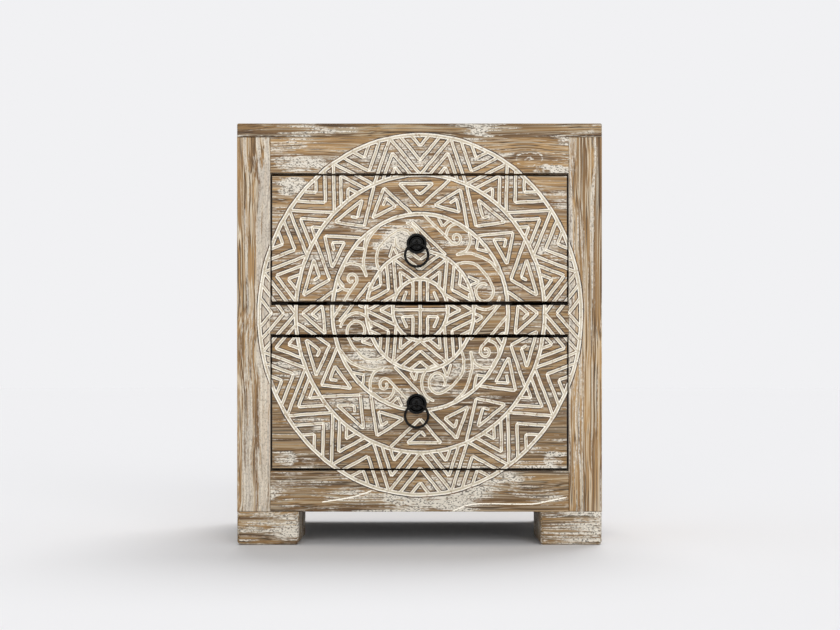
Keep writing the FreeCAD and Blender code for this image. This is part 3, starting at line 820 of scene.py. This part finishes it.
@dataclass
class Medallion:
    """The carved round across the whole front: five rings with a band of figures between each two.

    It is drawn round, then stretched in height, with the inner rings set a little higher than the outer one.
    The upper and the lower half were set out apart, which makes the outer triangles at the two sides wider.
    Some frets wind the other way, and some sit askew.
    """

    centre: Point = (0.9 * MM, 283.8 * MM)
    stretch: float = 1.117
    lift: float = 7.5 * MM
    rings: tuple[float, ...] = (198.5 * MM, 153.5 * MM, 108.3 * MM, 66.2 * MM, 34.0 * MM)
    ring_points: int = 120
    ring_width: float = 4.8 * MM
    line_width: float = 4.0 * MM
    scroll_width: float = 3.8 * MM
    outer_folds: int = 16
    outer_steps: Point = (8.7 * MM, 10.9 * MM)
    outer_chevrons: tuple[int, int] = (2, 2)
    squeezes: Point = (0.968, 0.992)
    fret_folds: int = 10
    wound_back: tuple[int, ...] = (2, 3, 4, 5)
    askew: dict[int, float] = field(default_factory=lambda: {1: 2.0, 3: -2.0, 11: 3.5, 12: 3.0, 13: 3.0})
    tail_sways: tuple[float, ...] = (0.0, 0.0, 0.0, 5.7)
    star_folds: int = 6
    star_steps: Point = (7.0 * MM, 9.0 * MM)
    star_chevrons: tuple[int, int] = (1, 2)
    hook_arm: float = 9.0 * MM
    hook_foot: float = 8.0 * MM
    hook_reach: float = 22.2 * MM
    hook_end: Point = (16.6 * MM, 20.3 * MM)
    slip_width: float = 1.6 * MM
    slips: tuple[tuple[Point, ...], ...] = (
        ((-120, 53), (-86, 58.5), (-70, 63), (-59, 67)),
        ((41, 42), (61, 49.5), (86, 51), (136, 50.5), (158, 54), (182, 59)),
    )

    def place(self, point: Point) -> Point:
        """Sets a point of the round drawing on the front.

        Args:
            point: the point, from the drawing's centre.

        Returns:
            Its X and Z.
        """
        u, v = point
        rise = self.lift * (1 - math.hypot(u, v) / self.rings[0])
        return self.centre[0] + u, self.centre[1] + v * self.stretch + rise

    def stroke(self, line: list[Point], width: float | None = None, closed: bool = False) -> Stroke:
        """Makes a stroke on the front from a line of the round drawing."""
        return Stroke([self.place(point) for point in line], width or self.line_width, closed)

    def nested(self, apex: Point, feet: tuple[Point, Point], ring: float, step: float,
               count: int) -> Iterator[Stroke]:
        """Draws chevrons inside a triangle, side by side with its two legs.

        Args:
            apex: the triangle's point.
            feet: the two ends of its base, which lie on a ring.
            ring: that ring's radius, where the chevrons end.
            step: distance from one leg to the next.
            count: how many chevrons there are.

        Returns:
            The chevrons' strokes.
        """
        tip = Vector(apex)
        legs = [(Vector(foot) - tip).normalized() for foot in feet]
        middle = (legs[0] + legs[1]).normalized()
        half = math.acos(max(-1.0, min(1.0, legs[0].dot(middle))))
        for k in range(1, count + 1):
            corner = tip + middle * (k * step / math.sin(half))
            for leg in legs:
                along = corner.dot(leg)
                inside = along ** 2 - corner.length_squared + ring ** 2
                if inside <= 0:
                    continue
                reach = [t for t in (-along - inside ** 0.5, -along + inside ** 0.5) if t > 0]
                if reach and reach[0] > self.line_width:
                    yield self.stroke([tuple(corner), tuple(corner + leg * reach[0])])

    def squeezed(self, angle: float) -> float:
        """Draws an angle closer to the top or the bottom, whichever is nearer, but not one at a side.

        Args:
            angle: the angle in degrees from the top.

        Returns:
            The new angle.
        """
        half = round(angle / 180)
        aside = angle - 180 * half
        return 180 * half + aside * (self.squeezes[half % 2] if abs(aside) < 90 else 1)

    def zigzag(self, outer: float, inner: float, folds: int, steps: Point, counts: tuple[int, int],
               shift: Callable[[float], float] = float) -> Iterator[Stroke]:
        """Draws a zigzag between two rings, with chevrons in its triangles.

        Args:
            outer: the outer ring's radius.
            inner: the inner ring's radius.
            folds: how many points the zigzag has on each ring.
            steps: the chevrons' spacing in triangles that point outwards, and inwards.
            counts: how many chevrons those have.
            shift: moves the angle of each corner.

        Returns:
            The zigzag's strokes.
        """
        half = 180 / folds
        for k in range(folds):
            before, tip, after, next_tip = (
                polar(shift((2 * k + n) * half), outer if n % 2 else inner) for n in range(4))
            yield self.stroke([before, tip])
            yield self.stroke([tip, after])
            yield from self.nested(tip, (before, after), inner, steps[0], counts[0])
            yield from self.nested(after, (tip, next_tip), outer, steps[1], counts[1])

    def frets(self) -> Iterator[Stroke]:
        """Draws the band of three-cornered spirals, pointing out and in by turns.

        Returns:
            The spirals' strokes.
        """
        outer, inner = self.rings[1], self.rings[2]
        # Corners as degrees from the fret's middle and shares of the band's width.
        out = ((12.2, 0.03), (0, 0.82), (-11.5, 0.25), (3.7, 0.28), (-0.5, 0.56), (-3.2, 0.40))
        into = ((14.0, 0.97), (0, 0.20), (-10.2, 0.82), (6.3, 0.79), (-0.4, 0.49), (-2.7, 0.62))
        pitch = 180 / self.fret_folds
        for k in range(2 * self.fret_folds):
            hand = -1 if k in self.wound_back else 1
            middle = k * pitch + self.askew.get(k, 0.0)
            corners = [
                polar(middle + hand * turn, inner + (outer - inner) * share)
                for turn, share in (out if k % 2 else into)]
            for start, end in zip(corners, corners[1:]):
                yield self.stroke([start, end])

    def scrolls(self) -> Iterator[Stroke]:
        """Draws one quarter's scrolls, leaves and straps, and turns them round the band.

        Some tails swing further than others.

        Returns:
            The strokes of the four quarters.
        """
        # Points in millimetres from the drawing's centre.
        tail_coil = spiral((44.1, 80.9), (7.7, 2.4), 208, 390)
        body_coil = spiral((78.3, 22.0), (12.4, 8.4), 26, -330)
        tip, shoulder = (44.1, 62.0), (60.2, 88.2)
        tail = [
            [(3.1, 108.5), (30.0, 84.2), *tail_coil],
            [*spiral((44.9, 84.5), (12.7, 12.7), 185, -105), shoulder],
            flowing([shoulder, (62.0, 80.3), (59.8, 72.2), (55.4, 66.3), tip]),
            flowing([tip, (56.8, 64.2), (67.3, 62.9), (86.7, 55.0), (100.1, 40.2)]),
        ]
        body = [
            [*flowing([(43.6, 50.4), (53.8, 53.6), (67.3, 52.3), (76.2, 45.6), (83.7, 37.5)]), *body_coil],
            spiral((78.3, 21.0), (18.0, 20.5), 185, 165),
            [(-10.7, 99.9), (31.8, 61.6)],
            [(68.0, -12.2), (76.4, -6.5)],
            [(76.4, -6.5), (68.0, -3.5)],
            [(58.7, 38.0), (72.6, 33.2)],
            [(72.6, 33.2), (62.4, 28.5)],
            [(71.0, 80.9), (69.5, 69.5)],
            [(69.5, 69.5), (85.2, 66.3)],
            [(22.4, 103.6), (27.7, 94.2)],
            [(27.7, 94.2), (37.0, 101.7)],
        ]
        for k, sway in enumerate(self.tail_sways):
            for lines, angle in ((tail, sway - 90 * k), (body, -90 * k)):
                c, s = math.cos(math.radians(angle)) * MM, math.sin(math.radians(angle)) * MM
                for line in lines:
                    yield self.stroke([(u * c - v * s, u * s + v * c) for u, v in line], self.scroll_width)

    def heart(self) -> Iterator[Stroke]:
        """Draws the cross and the four hooks inside the smallest ring.

        Returns:
            Their strokes.
        """
        edge = self.rings[-1]
        yield self.stroke([(0, -edge), (0, edge)])
        yield self.stroke([(-edge, 0), (edge, 0)])
        top = (edge ** 2 - self.hook_arm ** 2) ** 0.5
        hook = [(self.hook_arm, top), (self.hook_arm, self.hook_foot), (self.hook_reach, self.hook_foot),
                self.hook_end]
        for side in (-1, 1):
            for level in (-1, 1):
                corners = [(side * u, level * v) for u, v in hook]
                for start, end in zip(corners, corners[1:]):
                    yield self.stroke([start, end])

    def overruns(self) -> Iterator[Stroke]:
        """Draws the scratches where the tool slipped, straight on the front."""
        for slip in self.slips:
            yield Stroke(flowing([(x * MM, z * MM) for x, z in slip]), self.slip_width)

    def strokes(self) -> list[Stroke]:
        """Draws the whole medallion.

        Returns:
            Its strokes, from the rings to the slips of the tool.
        """
        first, second, _, fourth, fifth = self.rings
        turns = [360 * k / self.ring_points for k in range(self.ring_points)]
        return [
            *(self.stroke([polar(turn, radius) for turn in turns], self.ring_width, True)
              for radius in self.rings),
            *self.zigzag(
                first, second, self.outer_folds, self.outer_steps, self.outer_chevrons, self.squeezed),
            *self.frets(),
            *self.scrolls(),
            *self.zigzag(fourth, fifth, self.star_folds, self.star_steps, self.star_chevrons),
            *self.heart(),
            *self.overruns(),
        ]


@dataclass
class Gouge:
    """A hand gouge. Its grooves have a round bottom, waver a little and run out at their ends."""

    depth: float = 1.5 * MM
    steepest: float = 0.4
    waver: float = 0.28 * MM
    swell: Point = (0.96, 1.05)
    step: float = 8 * MM
    curve_step: float = 2.5 * MM
    run_out: float = 2.2 * MM
    end_share: float = 0.72
    facets: int = 4
    # A shallow rim beside each ring and straight line, coloured as painted shade.
    rim: float = 1.3 * MM
    rim_depth: float = 0.12 * MM
    rim_facets: int = 2
    seed: int = 11

    def swing(self, chance: random.Random, point: Point, step: float) -> Point:
        """Moves a point by the hand's unsteadiness, less where points are close."""
        reach = self.waver * min(1.0, step / (2 * self.curve_step))
        return tuple(c + chance.uniform(-reach, reach) for c in point)

    def draw(self, path: bpy.types.Curve, stroke: Stroke, front: float, chance: random.Random) -> None:
        """Adds one stroke to a path as a spline.

        Args:
            path: the curve that takes it.
            stroke: the stroke.
            front: Y of the carved face.
            chance: the source of unsteadiness.
        """
        step = self.step if stroke.straight or stroke.closed else self.curve_step
        line = stroke.line if stroke.closed else spaced(stroke.line, step)
        if stroke.straight:
            start, end = (Vector(point) for point in stroke.line)
            share = self.run_out / (end - start).length
            line = [line[0], start.lerp(end, share), *line[1:-1], end.lerp(start, share), line[-1]]
        depth = min(self.depth, self.steepest * stroke.width)
        radius = (stroke.width ** 2 / 4 + depth ** 2) / (2 * depth)
        spline = path.splines.new("POLY")
        spline.points.add(len(line) - 1)
        spline.use_cyclic_u = stroke.closed
        for k, (knot, point) in enumerate(zip(spline.points, line)):
            x, z = self.swing(chance, point, step)
            end = not stroke.closed and k in (0, len(line) - 1)
            knot.co = (x, front - radius + depth, z, 1)
            knot.radius = radius * (self.end_share if end else chance.uniform(*self.swell))

    def cuts(self, strokes: list[Stroke], front: float, finish: Finish, facets: int,
             flatten: float = 1.0) -> bpy.types.Collection:
        """Makes the closed shapes that the gouge takes out of the wood.

        Args:
            strokes: the strokes to cut.
            front: Y of the carved face.
            finish: what fills the grooves.
            facets: how finely they are rounded.
            flatten: how far the shapes are pressed towards the carved face.

        Returns:
            A collection with one mesh object for each stroke.
        """
        chance = random.Random(self.seed)
        bpy.ops.object.select_all(action="DESELECT")
        bpy.ops.object.add(type="CURVE")
        tool = bpy.context.object
        tool.data.dimensions = "3D"
        tool.data.bevel_depth = 1.0
        tool.data.bevel_resolution = facets
        tool.data.use_fill_caps = True
        for stroke in strokes:
            self.draw(tool.data, stroke, front, chance)
        bpy.ops.object.convert(target="MESH")
        tool.data.materials.append(finish.material())
        with edit_mode(tool, Pick.POINTS):
            bpy.ops.mesh.select_all(action="SELECT")
            bpy.ops.mesh.remove_doubles(threshold=SAME_POINT)
            bpy.ops.mesh.normals_make_consistent(inside=False)
            bpy.ops.transform.resize(value=(1.0, flatten, 1.0), center_override=(0.0, front, 0.0))
            bpy.ops.mesh.separate(type="LOOSE")
        group = bpy.data.collections.new("gouge_cuts")
        bpy.context.scene.collection.children.link(group)
        for piece in list(bpy.context.selected_objects):
            for home in list(piece.users_collection):
                home.objects.unlink(piece)
            group.objects.link(piece)
        return group

    def passes(self, strokes: list[Stroke], front: float) -> Cuts:
        """Makes the two passes of the carving.

        Args:
            strokes: the strokes to cut.
            front: Y of the carved face.

        Returns:
            The cuts of the shallow rims beside rings and straight lines, dark as painted shade, then of the
            painted grooves.
        """
        plain = [stroke for stroke in strokes if stroke.closed or stroke.straight]
        wider = [Stroke(stroke.line, stroke.width + 2 * self.rim, stroke.closed) for stroke in plain]
        return [
            # The rims' dark wood is painted shade beside the carved lines.
            self.cuts(wider, front, ShadeWood(), self.rim_facets, self.rim_depth / self.depth),
            self.cuts(strokes, front, LimePaint(front), self.facets),
        ]


def carve(piece: Piece, passes: Cuts) -> None:
    """Takes the gouge's cuts out of a board, pass by pass, and keeps their finish in the grooves."""
    for cuts in passes:
        apply_modifier(piece, "BOOLEAN", operation="DIFFERENCE", operand_type="COLLECTION", collection=cuts,
                       solver="MANIFOLD", material_mode="TRANSFER")


def take_out(piece: Piece, other: Piece) -> None:
    """Cuts the room that another piece needs out of a board."""
    apply_modifier(piece, "BOOLEAN", operation="DIFFERENCE", object=other, solver="MANIFOLD")


def ease_front(piece: Piece, front: float, width: float) -> None:
    """Rounds the edges of a board's front face.

    Args:
        piece: the board.
        front: Y of its front face.
        width: how far the rounding reaches.
    """
    with edit_mode(piece, Pick.EDGES):
        pick_edges(piece, lambda a, b: max(abs(a.y - front), abs(b.y - front)) < ON_FACE)
        bpy.ops.mesh.bevel(offset=width, segments=3, affect="EDGES")


def paint(piece: Piece, finish: Finish) -> None:
    """Gives a piece one finish all over."""
    piece.data.materials.clear()
    piece.data.materials.append(finish.material())


def darken_edges(piece: Piece, reach: float, ways: tuple[Vector, ...], lean: float = 0.1) -> None:
    """Paints shade on the eased front edges that face a gap.

    Args:
        piece: the board, in its own finish.
        reach: Y as far as which its easing goes.
        ways: the directions in which the gaps lie.
        lean: how much of a face's normal points to a gap, at least.
    """
    # The near-black edges are painted shade, which makes the gaps read darker and wider.
    piece.data.materials.append(GAP_SHADE.material())
    with edit_mode(piece):
        pick_faces(piece, lambda face: face.calc_center_median().y < reach and face.normal.y > -SQUARE_ON
                   and any(face.normal.dot(way) > lean for way in ways))
        piece.active_material_index = 1
        bpy.ops.object.material_slot_assign()


def hand_over(piece: Piece, node: str, body: str) -> None:
    """Sets a finished piece in place of a frame node.

    Args:
        piece: the finished mesh.
        node: the node that it stands for.
        body: the body that it moves with.
    """
    select_only(piece)
    bpy.ops.object.shade_smooth_by_angle(angle=SMOOTH_ANGLE)
    with edit_mode(piece):
        pick_faces(piece, lambda face: abs(face.normal.y) > FLAT)
        bpy.ops.mesh.faces_shade_flat()
    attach(piece, body)
    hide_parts(node)
    log.info("%s: %d faces", piece.name, len(piece.data.polygons))


def dress(node: Piece, finish: Finish) -> None:
    """Gives a frame node its finish, and reports it."""
    paint(node, finish)
    log.info("%s: %s", node.name, finish.name)


@dataclass
class FaceFrame:
    """The two stiles and three rails round the drawers, flush with them."""

    ease: float = 0.8 * MM
    stile_ease: float = 1.4 * MM
    tenon_shoulder: float = 6 * MM
    tenon_length: float = 25 * MM
    rails: tuple[str, ...] = ("top_rail", "middle_rail", "bottom_rail")
    stiles: tuple[str, ...] = ("left_stile", "right_stile")
    boards: dict[str, Piece] = field(default_factory=dict)

    def build_rail(self, node: str) -> None:
        """Makes a rail between the stiles, with a tenon at each end.

        Args:
            node: the rail's node.
        """
        low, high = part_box(node)
        low.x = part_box("left_stile")[1].x
        high.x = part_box("right_stile")[0].x
        rail = block(f"carved_{node}", low, high)
        for side in (-1, 1):
            with edit_mode(rail):
                pick_faces(rail, lambda face: face.normal.x * side > SQUARE_ON)
                bpy.ops.mesh.inset(thickness=self.tenon_shoulder)
                bpy.ops.mesh.extrude_region_move(
                    TRANSFORM_OT_translate={"value": (side * self.tenon_length, 0, 0)})
        ease_front(rail, low.y, self.ease)
        self.boards[node] = rail

    def build_stile(self, node: str) -> None:
        """Makes a stile with the mortises for the rails' tenons.

        Args:
            node: the stile's node.
        """
        low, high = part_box(node)
        stile = block(f"carved_{node}", low, high)
        ease_front(stile, low.y, self.stile_ease)
        for rail in self.rails:
            take_out(stile, self.boards[rail])
        self.boards[node] = stile

    def build(self) -> None:
        """Makes every board of the frame."""
        for node in self.rails:
            self.build_rail(node)
        for node in self.stiles:
            self.build_stile(node)

    def finishes(self) -> dict[str, Wood]:
        """Chooses the wood of each board, with the haze that it shows.

        Returns:
            The finishes by node.
        """
        left, right = (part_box(node) for node in self.stiles)
        return {
            "top_rail": Wood(
                "limed_mango_top_rail", MANGO, Grain.ACROSS, seed=21, lime=0.04, wash=0.42, patches=(
                    Patch(-152, 471, 42, 15, amount=0.24), Patch(157, 465, 25, 6),
                    Patch(136, 476, 24, 13, amount=0.6, rings=2.0))),
            "middle_rail": Wood("limed_mango_middle_rail", OLD_MANGO, Grain.ACROSS, seed=22, lime=0.0),
            "bottom_rail": Wood(
                "limed_mango_bottom_rail", OLD_MANGO, Grain.ACROSS, seed=23, lime=0.1, patches=(
                    Patch(-19, 57, 32, 9), Patch(29, 50, 17, 9))),
            "left_stile": Wood(
                "limed_mango_left_stile", MANGO, Grain.UP, seed=24, lime=0.17, haze=STILE_STREAKS,
                fade=Fade(left[0].x, left[1].x, 0.2), wash=0.75, cover=0.6, speckle=0.5),
            "right_stile": Wood(
                "limed_mango_right_stile", MANGO, Grain.UP, seed=25, lime=0.05, haze=STILE_STREAKS,
                fade=Fade(right[1].x, right[0].x, 0.12), wash=0.65, cover=0.75, speckle=0.6),
        }

    def dress(self, cuts: Cuts) -> None:
        """Limes, carves and hands over every board.

        Args:
            cuts: the medallion's cuts.
        """
        finishes = self.finishes()
        gaps = {"top_rail": (DOWN,), "middle_rail": (UP, DOWN), "bottom_rail": (UP,)}
        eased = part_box("left_stile")[0].y + self.ease
        for node, board in self.boards.items():
            paint(board, finishes[node])
            if node in gaps:
                darken_edges(board, eased, gaps[node])
            carve(board, cuts)
            hand_over(board, node, "case")


class Level(Enum):
    """Which drawer a piece belongs to, as the nodes' names begin."""

    UPPER = "upper"
    LOWER = "lower"


@dataclass
class RingPull:
    """A turned rosette with an eye in its centre and a loose ring, nutted behind the drawer front."""

    level: Level
    iron: tuple[str, ...] = ("rosette", "eye_bolt", "ring")
    steel: tuple[str, ...] = ("washer", "nut")

    def dress(self, nodes: dict[str, Piece]) -> None:
        """Gives the pull's pieces their finishes.

        Args:
            nodes: the frame's objects by node.
        """
        for pieces, finish in ((self.iron, LacqueredIron()), (self.steel, ZincPlate())):
            for piece in pieces:
                dress(nodes[f"{self.level.value}_pull_{piece}"], finish)


@dataclass
class Drawer:
    """A dovetailed drawer whose front carries its share of the medallion."""

    level: Level
    timber: Timber
    seed: int
    lime: float
    patches: tuple[Patch, ...]
    wash: float = 0.34
    ease: float = 0.8 * MM
    front: Piece | None = None

    def node(self, piece: str) -> str:
        """Names one of the drawer's nodes."""
        return f"{self.level.value}_drawer_{piece}"

    def build(self, nodes: dict[str, Piece]) -> None:
        """Makes the front with its dovetail sockets, its floor groove and the bore for the pull.

        Args:
            nodes: the frame's objects by node.
        """
        low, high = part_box(self.node("front"))
        self.front = block(f"carved_{self.node('front')}", low, high)
        ease_front(self.front, low.y, self.ease)
        neighbours = [self.node(piece) for piece in ("left_side", "right_side", "floor")]
        for name in (*neighbours, f"{self.level.value}_pull_eye_bolt"):
            copy = merged_copy(nodes[name])
            take_out(self.front, copy)
            remove([copy])

    def dress(self, nodes: dict[str, Piece], cuts: Cuts) -> None:
        """Limes and carves the front, and finishes the bare wood behind it.

        Args:
            nodes: the frame's objects by node.
            cuts: the medallion's cuts.
        """
        paint(self.front, Wood(
            f"limed_mango_{self.level.value}_front", self.timber, Grain.ACROSS, self.seed, self.lime,
            wash=self.wash, patches=self.patches))
        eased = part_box(self.node("front"))[0].y + self.ease
        darken_edges(self.front, eased, (LEFT, RIGHT, DOWN, UP))
        carve(self.front, cuts)
        hand_over(self.front, self.node("front"), f"{self.level.value}_drawer")
        grains = {
            "left_side": Grain.DEEP, "right_side": Grain.DEEP, "back": Grain.ACROSS, "floor": Grain.ACROSS}
        for piece, grain in grains.items():
            name = self.node(piece)
            dress(nodes[name], Wood(f"planed_pine_{name}", DRAWER_PINE, grain, self.seed + len(name)))
        RingPull(self.level).dress(nodes)


@dataclass
class Case:
    """The top, sides, back, floor, feet and drawer runners behind the face frame."""

    top_ease: float = 1.8 * MM
    top_planks: Planks = Planks(122 * MM, Axis.DEPTH)
    side_planks: Planks = Planks(118 * MM, Axis.DEPTH)
    back_planks: Planks = Planks(137 * MM, Axis.WIDTH)
    foot_ease: float = 4.5 * MM
    foot_waver: float = 0.7 * MM
    foot_lumps: float = 22 * MM
    foot_cuts: int = 9
    foot_seed: int = 41
    feet: tuple[str, ...] = ("front_left_foot", "front_right_foot", "rear_left_foot", "rear_right_foot")

    def build_top(self, cuts: Cuts) -> None:
        """Makes the top board with softened edges, and carves the ring's top into its front.

        Args:
            cuts: the medallion's cuts.
        """
        low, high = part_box("top_panel")
        top = block("softened_top_panel", low, high)
        with edit_mode(top, Pick.EDGES):
            pick_edges(top, lambda a, b: max(a.z, b.z) > high.z - ON_FACE)
            bpy.ops.mesh.bevel(offset=self.top_ease, segments=4, affect="EDGES")
        paint(top, Wood(
            "limed_mango_top", OLD_MANGO, Grain.ACROSS, seed=31, lime=-0.03, planks=self.top_planks,
            patches=(Patch(74, 512, 13, 6), Patch(79, 503, 15, 2))))
        carve(top, cuts)
        hand_over(top, "top_panel", "case")

    def build_foot(self, node: str, seed: int) -> None:
        """Makes one block foot with worn, uneven edges.

        Args:
            node: the foot's node.
            seed: where its figure lies in the wood's pattern.
        """
        low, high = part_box(node)
        foot = block(f"worn_{node}", low, high)
        sides = {0: (low.x, high.x), 1: (low.y, high.y), 2: (low.z, low.z)}
        with edit_mode(foot, Pick.EDGES):
            bpy.ops.mesh.select_all(action="SELECT")
            bpy.ops.mesh.subdivide(number_cuts=self.foot_cuts)
            # An edge is worn where two sides meet, other than those at the foot's top.
            pick_edges(foot, lambda a, b: sum(
                abs(a[k] - b[k]) < SAME_POINT and min(abs(a[k] - side) for side in sides[k]) < SAME_POINT
                for k in sides) == 2)
            bpy.ops.mesh.bevel(offset=self.foot_ease, segments=4, affect="EDGES")
        lumps = bpy.data.textures.new(f"lumps_{node}", "CLOUDS")
        lumps.noise_scale = self.foot_lumps
        apply_modifier(foot, "DISPLACE", texture=lumps, strength=self.foot_waver, texture_coords="LOCAL")
        paint(foot, Wood(f"limed_mango_{node}", OLD_MANGO, Grain.ACROSS, seed, lime=0.1, wash=0.4))
        hand_over(foot, node, "case")

    def build(self, cuts: Cuts) -> None:
        """Makes the pieces that are more than plain boards.

        Args:
            cuts: the medallion's cuts.
        """
        self.build_top(cuts)
        for k, node in enumerate(self.feet):
            self.build_foot(node, self.foot_seed + k)

    def dress(self, nodes: dict[str, Piece]) -> None:
        """Finishes the plain boards and the fasteners.

        Args:
            nodes: the frame's objects by node.
        """
        plain = {
            "left_side_panel": Wood(
                "limed_mango_left_side", MANGO, Grain.UP, seed=51, lime=0.0, planks=self.side_planks),
            "right_side_panel": Wood(
                "limed_mango_right_side", MANGO, Grain.UP, seed=52, lime=0.0, planks=self.side_planks),
            "back_panel": Wood(
                "limed_mango_back", MANGO, Grain.UP, seed=53, lime=-0.08, planks=self.back_planks),
            # The case floor is near black as painted shade under the case.
            "case_floor": Wood("shade_dark_pine_case_floor", SHADE_DARK_PINE, Grain.ACROSS, seed=54),
            "top_dowels": Wood("turned_beech_dowels", BEECH, Grain.UP, seed=55),
            "foot_screws": ZincPlate(),
        }
        # Runners, guides, kickers and stops are near black as painted shade in the drawer gaps.
        runner = Wood("shade_dark_pine_runners", SHADE_DARK_PINE, Grain.DEEP, seed=56)
        stop = Wood("shade_dark_pine_stops", SHADE_DARK_PINE, Grain.ACROSS, seed=57)
        for name, node in nodes.items():
            if name in plain:
                dress(node, plain[name])
            elif name.endswith(("runner", "guide", "kicker")):
                dress(node, runner)
            elif name.endswith("stops"):
                dress(node, stop)


@dataclass(frozen=True)
class Lamp:
    """A far soft lamp: its strength, its direction from the object, and how wide it looks in degrees."""

    name: str
    energy: float
    stand: tuple[float, float, float]
    spread: float


@dataclass
class Studio:
    """A pale studio with soft light from behind and from the front, and the photograph's camera."""

    image_width: int = 840
    image_height: int = 630
    pixel: float = 1.2329 * MM
    middle_column: float = 419.5
    floor_row: float = 545.0
    eye_row: float = 380.0
    distance: float = 2000 * MM
    floor_radius: float = 40.0
    floor_corners: int = 96
    backdrop: str = "#F1F1F3"
    sky: float = 0.4
    lamps: tuple[Lamp, ...] = (
        Lamp("key_lamp", 1.68, (0.13, 0.5, 0.85), 36),
        Lamp("front_fill", 2.15, (0.15, -1.0, 0.2), 55),
    )

    def add_camera(self, front: float) -> None:
        """Sets up the camera level and straight in front, by the photograph's scale on the front face.

        Args:
            front: Y of the front face.
        """
        camera = bpy.data.cameras.new("camera")
        camera.lens = camera.sensor_width * self.distance / (self.image_width * self.pixel)
        camera.shift_x = (self.image_width / 2 - self.middle_column) / self.image_width
        camera.shift_y = (self.eye_row - self.image_height / 2) / self.image_width
        stand = bpy.data.objects.new("camera", camera)
        stand.location = (0, front - self.distance, (self.floor_row - self.eye_row) * self.pixel)
        stand.rotation_euler = (math.pi / 2, 0, 0)
        bpy.context.scene.collection.objects.link(stand)
        bpy.context.scene.camera = stand

    def add_floor(self) -> None:
        """Lays a wide round floor."""
        bpy.ops.object.select_all(action="DESELECT")
        bpy.ops.mesh.primitive_circle_add(
            vertices=self.floor_corners, radius=self.floor_radius, fill_type="NGON")
        floor = bpy.context.object
        floor.name = "studio_floor"
        floor.data.materials.append(StudioPaper().material())

    def add_light(self) -> None:
        """Sets the lamps and an even sky, which shows as the pale backdrop."""
        for lamp in self.lamps:
            light = bpy.data.lights.new(lamp.name, "SUN")
            light.energy = lamp.energy
            light.angle = math.radians(lamp.spread)
            stand = bpy.data.objects.new(lamp.name, light)
            stand.rotation_euler = Vector(lamp.stand).to_track_quat("Z", "Y").to_euler()
            bpy.context.scene.collection.objects.link(stand)
        world = bpy.data.worlds.new("studio")
        world.use_nodes = True
        tree = world.node_tree
        tree.nodes.clear()
        seen = add_node(tree, "LightPath").outputs["Is Camera Ray"]
        light = add_node(tree, "Background", {"Color": linear("#FFFFFF"), "Strength": self.sky})
        shown = add_node(tree, "Background", {"Color": linear(self.backdrop), "Strength": 1.0})
        mix = add_node(tree, "MixShader", {0: seen, 1: light.outputs[0], 2: shown.outputs[0]})
        add_node(tree, "OutputWorld", {"Surface": mix.outputs[0]})
        bpy.context.scene.world = world
        bpy.context.scene.view_settings.view_transform = "Standard"

    def build(self, front: float) -> None:
        """Sets up floor, light and camera.

        Args:
            front: Y of the object's front face.
        """
        self.add_floor()
        self.add_light()
        self.add_camera(front)


def main() -> None:
    """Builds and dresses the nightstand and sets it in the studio."""
    logging.basicConfig(level=logging.INFO, format="%(name)s: %(message)s")
    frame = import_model()
    nodes = frame["nodes"]
    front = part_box("upper_drawer_front")[0].y
    drawers = [
        Drawer(Level.UPPER, MANGO, seed=61, lime=0.02, patches=(
            Patch(-156, 442, 28, 16), Patch(-24, 371, 28, 26), Patch(-51, 369, 10, 9))),
        Drawer(Level.LOWER, OLD_MANGO, seed=62, lime=0.0, patches=(
            Patch(-166, 107, 18, 12), Patch(163, 107, 18, 12))),
    ]
    face = FaceFrame()
    case = Case()
    cuts = Gouge().passes(Medallion().strokes(), front)
    face.build()
    face.dress(cuts)
    for drawer in drawers:
        drawer.build(nodes)
        drawer.dress(nodes, cuts)
    case.build(cuts)
    case.dress(nodes)
    for group in cuts:
        remove(group.objects)
        bpy.data.collections.remove(group)
    Studio().build(front)


if __name__ == "__main__":
    main()
